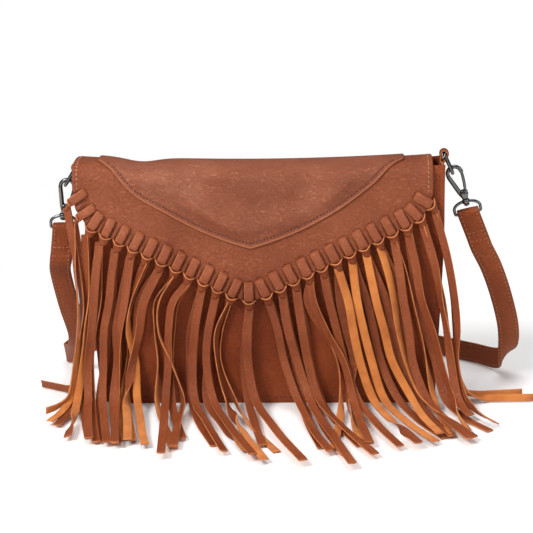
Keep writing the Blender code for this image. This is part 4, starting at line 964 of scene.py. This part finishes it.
def tailPath(start, lane, spots, wobble):
    stand = lacing["laneClear"] + lane * lacing["lanePitch"]
    low = 0.0006 + 0.0005 + lane * lacing["laneRise"]
    radius = lacing["laneBend"] - lane * lacing["lanePitch"]
    x = [value / 1000.0 for value in spots]

    def hang(z, across):
        return Vector((across, -(float(frontLine(np.array(min(abs(across), 0.12)), np.array(z))) + stand), z))

    points = [start]
    # draw it in from the neck before it hangs free
    for z, across in zip(tailHeights, x):
        if start.z - z > 0.012:
            points.append(hang(z, across))
    if len(points) > 2 and start.z - points[1].z > 0.04:
        middle = (points[0] + points[1]) / 2.0
        bow = (points[1].x - points[0].x) * 0.10
        points.insert(1, hang(middle.z, middle.x + bow))
    foot = low + radius
    angle = math.radians(50)
    bendY = hang(foot, x[3]).y - radius * (1.0 - math.cos(angle))
    bendY = max(bendY, (hang(foot, x[3]).y + x[5]) / 2.0)
    points.append(Vector((x[3], bendY, foot - radius * math.sin(angle))))
    end = Vector((x[4], x[5], low))
    gap = end - points[-1]
    points.append(Vector((points[-1].x + gap.x * 0.42, points[-1].y + gap.y * 0.46, low + 0.0012)))
    points.append(end)
    line = smoothPath(points, 0.0034)
    for index, point in enumerate(line):
        share = index / (len(line) - 1)
        point.x += wobble[0] * math.sin(share * wobble[1] + wobble[2]) * min(1.0, share * 5.0)
        point.z = max(point.z, low)
    return line


def stripSections(points, turns, width, wall, curl):
    sections = []
    last = len(points) - 1
    across = (-0.5, -0.44, -0.25, 0.0, 0.25, 0.44, 0.5)
    outline = [(a, -0.5) for a in across] + [(0.515, 0.0)]
    outline += [(-a, -b) for a, b in outline]
    for index, point in enumerate(points):
        along = (points[min(index + 1, last)] - points[max(index - 1, 0)]).normalized()
        side = Vector((1.0, 0.0, 0.0)) - along * along.x
        side.normalize()
        face = along.cross(side)
        turn = turns[index]
        turnedSide = side * math.cos(turn) + face * math.sin(turn)
        turnedFace = face * math.cos(turn) - side * math.sin(turn)
        # the cut ends and edges are a little softer than the middle
        ring = []
        for a, b in outline:
            softer = 0.86 if abs(a) > 0.47 and abs(b) > 0.1 else 1.0
            bend = curl * (4.0 * a * a - 0.33)
            ring.append(point + turnedSide * (a * width) + turnedFace * (b * wall * softer + bend))
        sections.append(ring)
    return sections


# Shares of a band's width and thickness round its section
bandOutline = (
    (-0.5, -0.35), (-0.5, 0.10), (-0.44, 0.42), (-0.27, 0.60), (0.0, 0.66), (0.27, 0.60), (0.44, 0.42),
    (0.5, 0.10), (0.5, -0.35), (0.3, -0.5), (-0.3, -0.5),
)


def bandSections(matrix, width):
    # a closed way through the slot, over the border and round its edge
    room = flap["wall"] / 2.0 + 0.0005
    slot = lacing["slotInset"]
    thick = 0.0019
    r = room + thick / 2.0
    path = [(slot + 0.0002, -r), (slot + 0.0011, 0.0), (slot + 0.0003, r * 0.98), (slot * 0.72, r + 0.0010),
            (slot * 0.35, r + 0.0011), (-0.0002, r + 0.0006), (-0.0016, r * 0.2), (-0.0008, -r),
            (slot * 0.4, -r), (slot * 0.8, -r)]
    count = len(path)
    smooth = []
    for index in range(count):
        four = [np.array(path[(index + k) % count]) for k in (-1, 0, 1, 2)]
        smooth += [curvePoint(*four, part / 3) for part in range(3)]
    sections = []
    rings = len(smooth)
    for index in range(rings):
        y, z = smooth[index]
        ahead, behind = smooth[(index + 1) % rings], smooth[index - 1]
        along = np.array(ahead) - np.array(behind)
        along = along / np.linalg.norm(along)
        out = np.array((-along[1], along[0]))
        centreOut = np.array((y - slot * 0.5, z))
        if out.dot(centreOut) < 0.0:
            out = -out
        ring = []
        for a, b in bandOutline:
            ring.append(matrix @ Vector((a * width, y + out[0] * b * thick, z + out[1] * b * thick)))
        sections.append(ring)
    return sections


# The collar from top to neck: share of the way down, half its breadth, half its depth
collarShape = (
    (0.0, 0.0040, 0.0030), (0.05, 0.0052, 0.0046), (0.12, 0.0050, 0.0044), (0.20, 0.0047, 0.0038),
    (0.40, 0.0042, 0.0031), (0.7, 0.0035, 0.0026), (1.0, 0.0032, 0.0022),
)
# Where along a tail each stated turn holds
turnMarks = (0.10, 0.40, 0.72, 0.97)


def buildLaces():
    chance = random.Random(7)
    for number in range(lacing["count"]):
        matrix, spot, tilt = laceFrames[number]
        name = "lace_%02d" % (number + 1)
        width = lacing["bandWidth"] * chance.uniform(0.93, 1.05)
        sections = bandSections(matrix, width)
        # both cut edges of the band take the pale rim colour, and so does its left shoulder, where that
        # colour is a painted highlight
        band = sweep(name + "_band", sections, [bandFinish, rimAndHighlightFinish],
                     slotOf=lambda side: 1 if side in (0, 1, 7) else 0, closed=True)
        steep = abs(tilt) > math.radians(44) and number < 3
        rim = 0.55 if steep else 1.0
        # the bight of the strip, drawn in round the neck of the tails
        top = matrix @ Vector((0.0, -0.0011, 0.0))
        lean = -(matrix.to_3x3() @ Vector((0.0, 1.0, 0.0)))
        drop = (lean + Vector((0.0, 0.0, -1.0))).normalized() * lacing["collarTall"]
        turned = matrix.to_3x3()
        rings = []
        for share, across, through in collarShape:
            ring = []
            for angle in roundWay(20):
                flat = Vector((across * rim * math.cos(angle), 0.0, through * math.sin(angle)))
                level = Vector((flat.x, -flat.z, 0.0))
                offset = (turned @ flat).lerp(level, share)
                dip = (0.0046 * (1.0 - (flat.x / 0.0052) ** 2) - 0.0020) * (1.0 - share) * rim
                ring.append(top + drop * share + offset + lean * dip * 0.6)
            rings.append(ring)
        collar = sweep(name + "_collar", rings, [stripFinish])
        parts = [band, collar]
        brim = rings[1]
        lip = []
        for index, point in enumerate(brim):
            along = (brim[(index + 1) % len(brim)] - brim[index - 1]).normalized()
            out = (point - top - drop * 0.04)
            out = (out - along * out.dot(along)).normalized()
            rise = along.cross(out)
            lip.append([point + out * (lacing["lip"] * math.cos(t)) + rise * (lacing["lip"] * math.sin(t))
                        for t in roundWay(8)])
        parts.append(sweep(name + "_lip", lip, [rimAndHighlightFinish], closed=True))
        neck = top + drop * 0.7
        for turn in (0, 1):
            spots, sides = tailPlan[number][turn]
            lane = number % 2 + 2 * turn
            # the steep ones at the left hang a little outside their bands
            aside = lacing["leftAside"] * max(0.0, 1.0 - abs(number - 2.5) / 3.0)
            start = neck + Vector((-aside, (0.5 - turn) * 0.0015, 0.0))
            wobble = (chance.uniform(0.0, 0.0007), chance.uniform(7.0, 13.0), chance.uniform(0.0, 6.3))
            points = tailPath(start, lane, spots, wobble)
            count = len(points)
            turns = []
            for index in range(count):
                share = index / (count - 1)
                value = sides[0]
                for low, high, first, second in zip(turnMarks, turnMarks[1:], sides, sides[1:]):
                    if share >= low:
                        value = first + (second - first) * float(step((share - low) / (high - low)))
                turns.append(math.radians(value))
            curl = chance.uniform(0.0002, 0.0005)
            wide = lacing["stripWidth"] * chance.uniform(0.94, 1.08)
            for point, value in zip(points, turns):
                point.z = max(point.z, wide / 2.0 * abs(math.sin(value)) + 0.0012)
            sections = stripSections(points, turns, wide, lacing["stripWall"], curl)
            tail = sweep(name + "_tail_%d" % turn, sections, [stripFinish, suedeFinish, edgeFinish],
                         slotOf=lambda side: 1 if side < 6 else (0 if 8 <= side < 14 else 2))
            parts.append(tail)
        lace = joinInto(name + "_strip", parts)
        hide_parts(name)
        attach(lace, "flap")
    print("laces ready")


def wireSections(points, radii, normal, sides, closed):
    sections = []
    count = len(points)
    for index, point in enumerate(points):
        ahead = points[(index + 1) % count] if closed else points[min(index + 1, count - 1)]
        behind = points[index - 1] if closed else points[max(index - 1, 0)]
        along = (ahead - behind).normalized()
        side = normal.cross(along).normalized()
        sections.append([point + (side * math.cos(t) + normal * math.sin(t)) * radii[index]
                         for t in roundWay(sides)])
    return sections


# Where each set hangs: how far out and up its eye is, and which way each piece leans
hardware = {
    "right": {
        "side": 1.0, "eyeOut": -0.0024, "eyeUp": 0.0096, "ring": math.radians(24),
        "hook": math.radians(22), "loop": math.radians(13), "strap": math.radians(21),
    },
    "left": {
        "side": -1.0, "eyeOut": 0.0060, "eyeUp": 0.0018, "ring": math.radians(-32),
        "hook": math.radians(-11), "loop": 0.0, "strap": math.radians(-8),
    },
}
# Wire and plate sizes of the ring, the hook with its gate and pin, and the swivel loop
metal = {
    "ringLength": 0.0190, "ringWidth": 0.0168, "ringCorner": 0.0024, "ringWire": 0.0014,
    "hookEye": 0.0054, "hookWire": 0.0016, "hookBack": 0.0019, "hookLength": 0.0220,
    "gateWire": 0.00125, "pinDrop": 0.0165, "pinOut": 0.0026, "boss": 0.0019, "gateWall": 0.0020,
    "cheekWall": 0.0008, "stem": 0.0013, "stemHead": 0.0023, "collar": 0.0031, "collarLength": 0.0030,
    "loopHeight": 0.0096, "loopWire": 0.0012, "loopSide": 0.0040, "play": 0.0005,
}
strapLook = {
    "width": 0.0172, "wall": 0.0024, "turned": 0.030, "stitchInset": 0.0023, "stitchPitch": 0.0036,
    "crossRows": (0.0165, 0.0235),
    # where it runs, in millimetres, and which way its width points
    "way": (
        ((179.6, 4, 101.2), (1, 0, 0.3)), ((188.5, 11, 74.8), (1, 0, 0.2)),
        ((195.2, 20, 46), (1, 0, 0.2)), ((195.5, 31, 23), (0.75, 0, 0.65)),
        ((189, 46, 11.5), (0.25, 0, 1)), ((170, 68, 9.2), (0, 0, 1)),
        ((130, 95, 9.2), (0, 0, 1)), ((70, 114, 9.2), (0, 0, 1)),
        ((0, 121, 9.2), (0, 0, 1)), ((-70, 121, 9.2), (0, 0, 1)),
        ((-135, 113, 9.2), (0, 0, 1)), ((-170, 95, 9.2), (0, 0, 1)),
        ((-178, 72, 9.8), (-0.1, 0, 1)), ((-167, 50, 17), (-0.6, 0, 0.8)),
        ((-160.5, 33, 37), (-0.9, 0, 0.3)), ((-164, 18, 68), (-1, 0, 0)),
        ((-167, 6, 98), (-1, 0, 0)),
    ),
}
tabLook = {"width": 0.0085, "wall": 0.0018, "tail": 0.0050}
acrossBag = Vector((0.0, -1.0, 0.0))


def downAlong(lean):
    return Vector((math.sin(lean), 0.0, -math.cos(lean)))


def hardwarePlaces(side):
    look = hardware[side]
    out = float(halfWidth(bag["height"])) + look["eyeOut"]
    eye = Vector((look["side"] * out, 0.0, bag["height"] + look["eyeUp"]))
    foot = eye + downAlong(look["ring"]) * (metal["ringLength"] - 2.0 * metal["ringWire"])
    down = downAlong(look["hook"])
    over = Vector((math.cos(look["hook"]), 0.0, math.sin(look["hook"])))
    matrix = Matrix((over, -down, acrossBag)).transposed().to_4x4()
    hang = metal["hookEye"] - metal["hookWire"] - metal["ringWire"] - bag["gap"]
    matrix.translation = foot + (down + over * 0.6).normalized() * hang
    collar = matrix @ Vector((0.0, -(metal["hookLength"] + metal["play"] + metal["collarLength"] / 2.0), 0.0))
    bar = collar + downAlong(look["loop"]) * metal["loopHeight"]
    return eye, matrix, collar, bar


def tube(name, points, radii, normal, closed=False):
    sections = wireSections(points, radii, normal, 18, closed)
    return sweep(name, sections, [gunmetalFinish], closed=closed)


def turnedPart(name, centre, axis, shape):
    # a part turned on a lathe: pairs of place along the axis and radius
    axis = axis.normalized()
    side = axis.orthogonal().normalized()
    other = axis.cross(side)
    rings = []
    for along, radius in shape:
        rings.append([centre + axis * along + (side * math.cos(t) + other * math.sin(t)) * radius
                      for t in roundWay(24)])
    return sweep(name, rings, [gunmetalFinish])


def bothEnds(shape):
    # a lathe shape whose other end is the same
    return shape + [(-along, radius) for along, radius in reversed(shape)]


def plate(name, matrix, outline, near, far, edge):
    # a flat plate with its edges eased
    points = [Vector((x, y, 0.0)) for x, y in outline]
    middle = sum(points, Vector()) / len(points)
    rings = []
    for z, shrink in ((near, edge), (near + edge, 0.0), (far - edge, 0.0), (far, edge)):
        level = Vector((0.0, 0.0, z))
        rings.append([matrix @ (p + (middle - p).normalized() * shrink + level) for p in points])
    return sweep(name, rings, [gunmetalFinish])


def finishMetal(item, node, body):
    item.data.set_sharp_from_angle(angle=math.radians(48))
    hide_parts(node)
    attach(item, body)


def buildRing(side, eye):
    down = downAlong(hardware[side]["ring"])
    length = metal["ringLength"] - 2.0 * metal["ringWire"]
    half = metal["ringWidth"] / 2.0 - metal["ringWire"]
    radius = metal["ringCorner"]
    points = []
    for corner, (across, drop) in enumerate(((1, 1), (-1, 1), (-1, 0), (1, 0))):
        for part in range(8):
            turn = 0.5 * math.pi * (corner + part / 7.0)
            y = across * (half - radius) + radius * math.cos(turn)
            fall = (length - radius if drop else radius) + radius * math.sin(turn)
            points.append(eye + Vector((0.0, y, 0.0)) + down * fall)
    normal = down.cross(Vector((0.0, 1.0, 0.0))).normalized()
    wire = tube("ring_%s_metal" % side, points, [metal["ringWire"]] * len(points), normal, True)
    finishMetal(wire, "ring_" + side, "ring_" + side)


def buildHook(side, matrix):
    eyeRadius, base = metal["hookEye"], -metal["hookLength"]
    flat = [(-0.0002, base + 0.0016), (-0.0019, base + 0.0060), (-0.0038, -0.0080),
            (-eyeRadius * 0.96, -0.0022)]
    thick = [metal["hookBack"] * share for share in (1.0, 1.0, 0.96, 0.92)]
    flat += [(eyeRadius * math.cos(t), eyeRadius * math.sin(t)) for t in np.linspace(math.pi, 0.02, 9)]
    thick += [metal["hookWire"]] * 9
    flat.append((eyeRadius * 0.992, -0.0012))
    thick.append(metal["hookWire"] * 0.92)
    fine = curveThrough([np.array((x, y, r)) for (x, y), r in zip(flat, thick)], 5)
    points = [matrix @ Vector((p[0], p[1], 0.0)) for p in fine]
    parts = [tube("hook_%s_metal" % side, points, [p[2] for p in fine], acrossBag)]
    top = -metal["pinDrop"] + metal["boss"]
    out = metal["pinOut"] + metal["boss"]
    # two cheeks hold the gate's pin, and a block joins them at the foot
    below = -metal["pinDrop"] - metal["boss"]
    outline = [(-0.0020, top - 0.0010), (-0.0008, top), (out - 0.0020, top), (out - 0.0006, top - 0.0005),
               (out, top - 0.0018), (out - 0.0002, below), (0.0028, base + 0.0004), (0.0020, base),
               (-0.0016, base), (-0.0020, base + 0.0008)]
    inner = metal["gateWall"] / 2.0 + bag["gap"]
    outer = inner + metal["cheekWall"]
    for number, (near, far) in enumerate(((inner, outer), (-outer, -inner))):
        parts.append(plate("cheek_%d" % number, matrix, outline, near, far, 0.00022))
    block = [(-0.0018, base + 0.0034), (0.0006, base + 0.0030), (0.0024, base + 0.0012), (0.0020, base),
             (-0.0016, base)]
    parts.append(plate("block", matrix, block, -inner - 0.0004, inner + 0.0004, 0.0002))
    pinCentre = matrix @ Vector((metal["pinOut"], -metal["pinDrop"], 0.0))
    reach = outer + 0.00035
    pin = bothEnds([(-reach, 0.0003), (-reach + 0.0002, 0.0008), (-reach + 0.0004, 0.0010), (-inner, 0.0006)])
    parts.append(turnedPart("pin", pinCentre, acrossBag, pin))
    down = downAlong(hardware[side]["hook"])
    foot = matrix @ Vector((0.0, base, 0.0))
    fall = metal["collarLength"] + 2.0 * metal["play"]
    head = metal["stemHead"]
    stem = [(-0.0012, metal["stem"]), (fall, metal["stem"]), (fall + 0.0001, head * 0.86),
            (fall + 0.0004, head), (fall + 0.0013, head * 0.92), (fall + 0.0018, head * 0.6),
            (fall + 0.0020, head * 0.2)]
    parts.append(turnedPart("stem", foot, down, stem))
    finishMetal(joinInto("hook_%s_metal" % side, parts), "hook_" + side, "hook_" + side)
    # the sprung gate
    start, end = Vector((metal["pinOut"], -metal["pinDrop"])), Vector((eyeRadius * 0.992, -0.0015))
    points, radii = [], []
    for share in np.linspace(0.0, 1.0, 12):
        spot = start.lerp(end, share)
        bow = 0.0004 * math.sin(math.pi * share)
        points.append(matrix @ Vector((spot.x + bow, spot.y, 0.0)))
        radii.append(metal["gateWire"] * (0.76 if share < 0.15 else 0.96) * (0.9 if share > 0.97 else 1.0))
    arm = tube("gate_%s_metal" % side, points, radii, acrossBag)
    half = metal["gateWall"] / 2.0
    drum = bothEnds([(-half, metal["boss"] * 0.9), (-half + 0.0002, metal["boss"])])
    boss = turnedPart("boss", pinCentre, acrossBag, drum)
    finishMetal(joinInto("gate_%s_metal" % side, [arm, boss]), "gate_" + side, "gate_" + side)


def buildLoop(side, collar, bar):
    lean = hardware[side]["loop"]
    over, up = Vector((math.cos(lean), 0.0, math.sin(lean))), -downAlong(lean)
    half = strapLook["width"] / 2.0 + metal["play"] + metal["loopWire"]
    rise = metal["loopHeight"] - metal["loopSide"]
    flat = [(-half + 0.0010, 0.0), (half - 0.0010, 0.0), (half - 0.0003, 0.0003), (half, 0.0010),
            (half, metal["loopSide"])]
    flat += [(half * math.cos(t), metal["loopSide"] + rise * math.sin(t))
             for t in np.linspace(0.0, math.pi, 29)[1:-1]]
    flat += [(-half, metal["loopSide"]), (-half, 0.0010), (-half + 0.0003, 0.0003)]
    points = [bar + over * x + up * y for x, y in flat]
    wire = tube("loop_%s_metal" % side, points, [metal["loopWire"]] * len(points), acrossBag, True)
    reach = metal["collarLength"] / 2.0
    inside, outside = metal["stem"] + bag["gap"], metal["collar"]
    shape = bothEnds([(-reach, inside), (-reach, outside - 0.0003), (-reach + 0.0003, outside)])
    sleeve = turnedPart("sleeve", collar, downAlong(hardware[side]["hook"]), shape + shape[:1])
    finishMetal(joinInto("loop_%s_metal" % side, [wire, sleeve]), "loop_" + side, "loop_" + side)


def bandOfLeather(name, points, widths, width, wall, stitched):
    # a flat strip with eased edges, pressed in a little under its stitches
    half, thick = width / 2.0, wall / 2.0
    inset = strapLook["stitchInset"] if stitched else width * 0.3
    press = 0.80 if stitched else 0.98
    side = [(half, thick * 0.30), (half - 0.0003, thick * 0.72), (half - 0.0010, thick),
            (half - inset, thick * press), (half - inset * 1.6, thick), (0.0, thick * 1.03)]
    top = side + [(-a, b) for a, b in side[-2::-1]]
    outline = top + [(-a, -b) for a, b in top]
    last = len(points) - 1
    rings, normals, acrosses = [], [], []
    for index, point in enumerate(points):
        along = (points[min(index + 1, last)] - points[max(index - 1, 0)]).normalized()
        over = Vector(widths[index])
        over = (over - along * over.dot(along)).normalized()
        normal = over.cross(along)
        normals.append(normal)
        acrosses.append(over)
        rings.append([point + over * a + normal * b for a, b in outline])
    edges = (10, 21)
    item = sweep(name, rings, [strapFinish, edgeFinish], slotOf=lambda number: 1 if number in edges else 0)
    return item, normals, acrosses


def buildStrap(places):
    wall = strapLook["wall"]
    fold = metal["loopWire"] + bag["gap"] + wall / 2.0
    ply = (wall + bag["gap"]) / 2.0
    ends = []
    for side in ("right", "left"):
        bar = places[side][3]
        lean, loopLean = hardware[side]["strap"], hardware[side]["loop"]
        down, straight = downAlong(lean), downAlong(loopLean)
        over = Vector((math.cos(loopLean), 0.0, math.sin(loopLean)))
        line = []
        for drop, stand in ((1.0, ply), (0.7, ply), (0.4, ply), (0.2, ply + 0.0005), (0.07, fold)):
            line.append(bar + down * (strapLook["turned"] * drop) - acrossBag * stand)
        for part in range(9):
            turn = math.pi * part / 8
            line.append(bar - straight * (fold * math.sin(turn)) - acrossBag * (fold * math.cos(turn)))
        for drop, stand in ((0.07, fold), (0.2, ply + 0.0005), (0.4, ply), (0.7, ply), (1.0, ply)):
            line.append(bar + down * (strapLook["turned"] * drop) + acrossBag * stand)
        ends.append((line, over, down))
    way = [Vector(spot) / 1000.0 for spot, width in strapLook["way"]]
    turns = [Vector(width).normalized() for spot, width in strapLook["way"]]
    first, last = ends
    middle = curveThrough([first[0][-2], first[0][-1]] + way + [last[0][-1], last[0][-2]], 9)
    middleWidths = curveThrough([first[1], first[1]] + turns + [-last[1], -last[1]], 9)
    points = first[0][:-2] + middle[:-1] + [last[0][-2]] + last[0][-3::-1]
    widths = [first[1]] * (len(first[0]) - 2) + middleWidths[:-1] + [-last[1]] * (len(last[0]) - 1)
    item, normals, acrosses = bandOfLeather("strap_leather", points, widths, strapLook["width"], wall, True)
    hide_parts("strap")
    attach(item, "bag")
    inset = strapLook["width"] / 2.0 - strapLook["stitchInset"]
    number = 0
    for edge in (-1.0, 1.0):
        for face in (-1.0, 1.0):
            row = [p + a * (inset * edge) + n * (face * (wall * 0.40 + 0.00005))
                   for p, a, n in zip(points, acrosses, normals)][8:-8]
            ups = [n * face for n in normals][8:-8]
            stitchLine("strap_stitches_%d" % number, row, ups, strapLook["stitchPitch"], sewing["thread"],
                       strapThread, "bag")
            number += 1
    for side, (line, over, down) in zip(("right", "left"), ends):
        bar = places[side][3]
        # two rows of stitches across hold the turned end
        for drop in strapLook["crossRows"]:
            centre = bar + down * drop + acrossBag * (ply + wall / 2.0 + 0.0001)
            row = [centre + over * (inset * share) for share in np.linspace(-1.0, 1.0, 8)]
            stitchLine("strap_cross_%d" % number, row, [acrossBag] * 8, 0.0030, sewing["thread"],
                       strapThread, "bag")
            number += 1
    print("strap ready")


def buildTab(side, eye):
    look = hardware[side]
    wall = tabLook["wall"]
    inset = bag["gussetInset"] + bag["gussetWall"] + bag["gap"] + wall
    stemX = float(halfWidth(bag["height"])) - inset
    neck = Vector((look["side"] * (stemX - 0.0003), 0.0, bag["height"] + bag["gap"]))
    foot = neck - Vector((0.0, 0.0, tabLook["tail"]))
    toNeck = (neck - eye).normalized()
    beside = Vector((toNeck.z, 0.0, -toNeck.x))
    radius = metal["ringWire"] + metal["play"] + wall / 2.0
    ply = wall / 2.0 + 0.00005
    level = Vector((1.0, 0.0, 0.0)) * (1.0 if beside.x > 0.0 else -1.0)
    points = [foot + level * ply, neck + level * ply]
    points += [eye - toNeck * (radius * math.cos(t)) + beside * (radius * math.sin(t))
               for t in np.linspace(2.25, -2.25, 15)]
    points += [neck - level * ply, foot - level * ply]
    points = curveThrough(points, 3)
    widths = [Vector((0.0, 1.0, 0.0))] * len(points)
    item = bandOfLeather("tab_%s_leather" % side, points, widths, tabLook["width"], wall, False)[0]
    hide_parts("tab_" + side)
    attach(item, "bag")


def buildHardware():
    places = {side: hardwarePlaces(side) for side in ("left", "right")}
    for side in ("left", "right"):
        eye, matrix, collar, bar = places[side]
        buildRing(side, eye)
        buildHook(side, matrix)
        buildLoop(side, collar, bar)
        buildTab(side, eye)
    print("hardware ready")
    buildStrap(places)


# Light: the world's glow, how much of it shines back, where the floor turns plain white, and each
# lamp's place, aim, size and power
lights = {
    "world": 0.41, "reflected": 0.15, "floorNear": 0.27, "floorFar": 0.48,
    "lamps": {
        "key": ((-1.2, -1.3, 1.7), (0.0, 0.0, 0.08), 0.9, 50.0),
        "fill": ((1.5, -1.3, 1.1), (0.0, 0.0, 0.08), 1.2, 10.0),
        "top": ((0.1, 0.1, 2.2), (0.0, 0.0, 0.1), 1.4, 18.0),
    },
}


def whiteShader(nodes, kind, strength, colour=(1.0, 1.0, 1.0)):
    node = addNode(nodes, kind, Strength=strength)
    node.inputs["Color"].default_value = (*colour, 1.0)
    return node.outputs[0]


def mixShaders(nodes, links, factor, first, second):
    node = nodes.new("ShaderNodeMixShader")
    for socket, source in zip(node.inputs, (factor, first, second)):
        links.new(source, socket)
    return node.outputs[0]


def buildStage():
    material, nodes, links, shader = newMaterial("paleFloor")
    shader.inputs["Base Color"].default_value = (0.93, 0.93, 0.93, 1.0)
    shader.inputs["Roughness"].default_value = 0.9
    shader.inputs["Specular IOR Level"].default_value = 0.0
    # further off, the floor is seen as plain white
    place = addNode(nodes, "ShaderNodeTexCoord").outputs["Object"]
    away = addNode(nodes, "ShaderNodeVectorMath", operation="LENGTH")
    links.new(place, away.inputs[0])
    far = addNode(nodes, "ShaderNodeMapRange", clamp=True)
    far.inputs["From Min"].default_value = lights["floorNear"]
    far.inputs["From Max"].default_value = lights["floorFar"]
    links.new(away.outputs["Value"], far.inputs["Value"])
    ray = nodes.new("ShaderNodeLightPath")
    seenFar = calculate(nodes, links, "MULTIPLY", far.outputs["Result"], ray.outputs["Is Camera Ray"])
    plainWhite = whiteShader(nodes, "ShaderNodeEmission", 1.0)
    seen = mixShaders(nodes, links, seenFar, shader.outputs[0], plainWhite)
    links.new(seen, nodes["Material Output"].inputs["Surface"])
    corners = [(-6, -6, 0), (6, -6, 0), (6, 6, 0), (-6, 6, 0)]
    floor = makeObject("floor", corners, [(0, 1, 2, 3)], [material], smooth=False)
    world = bpy.data.worlds.new("studio")
    bpy.context.scene.world = world
    world.use_nodes = True
    nodes, links = world.node_tree.nodes, world.node_tree.links
    nodes.clear()
    output = nodes.new("ShaderNodeOutputWorld")
    white = whiteShader(nodes, "ShaderNodeBackground", 1.0)
    glow = whiteShader(nodes, "ShaderNodeBackground", lights["world"], (1.0, 0.99, 0.98))
    dim = whiteShader(nodes, "ShaderNodeBackground", lights["reflected"])
    path = nodes.new("ShaderNodeLightPath")
    around = mixShaders(nodes, links, path.outputs["Is Glossy Ray"], glow, dim)
    around = mixShaders(nodes, links, path.outputs["Is Camera Ray"], around, white)
    links.new(around, output.inputs["Surface"])
    for name, (place, target, size, power) in lights["lamps"].items():
        data = bpy.data.lights.new(name, "AREA")
        data.shape = "DISK"
        data.size = size
        data.energy = power
        lamp = bpy.data.objects.new(name, data)
        lamp.location = place
        way = Vector(target) - Vector(place)
        lamp.rotation_euler = way.to_track_quat("-Z", "Y").to_euler()
        bpy.context.scene.collection.objects.link(lamp)
    print("stage ready")


buildBody()
buildFlap()
buildLaces()
buildHardware()
buildStage()

bpy.context.scene.view_settings.view_transform = "Standard"
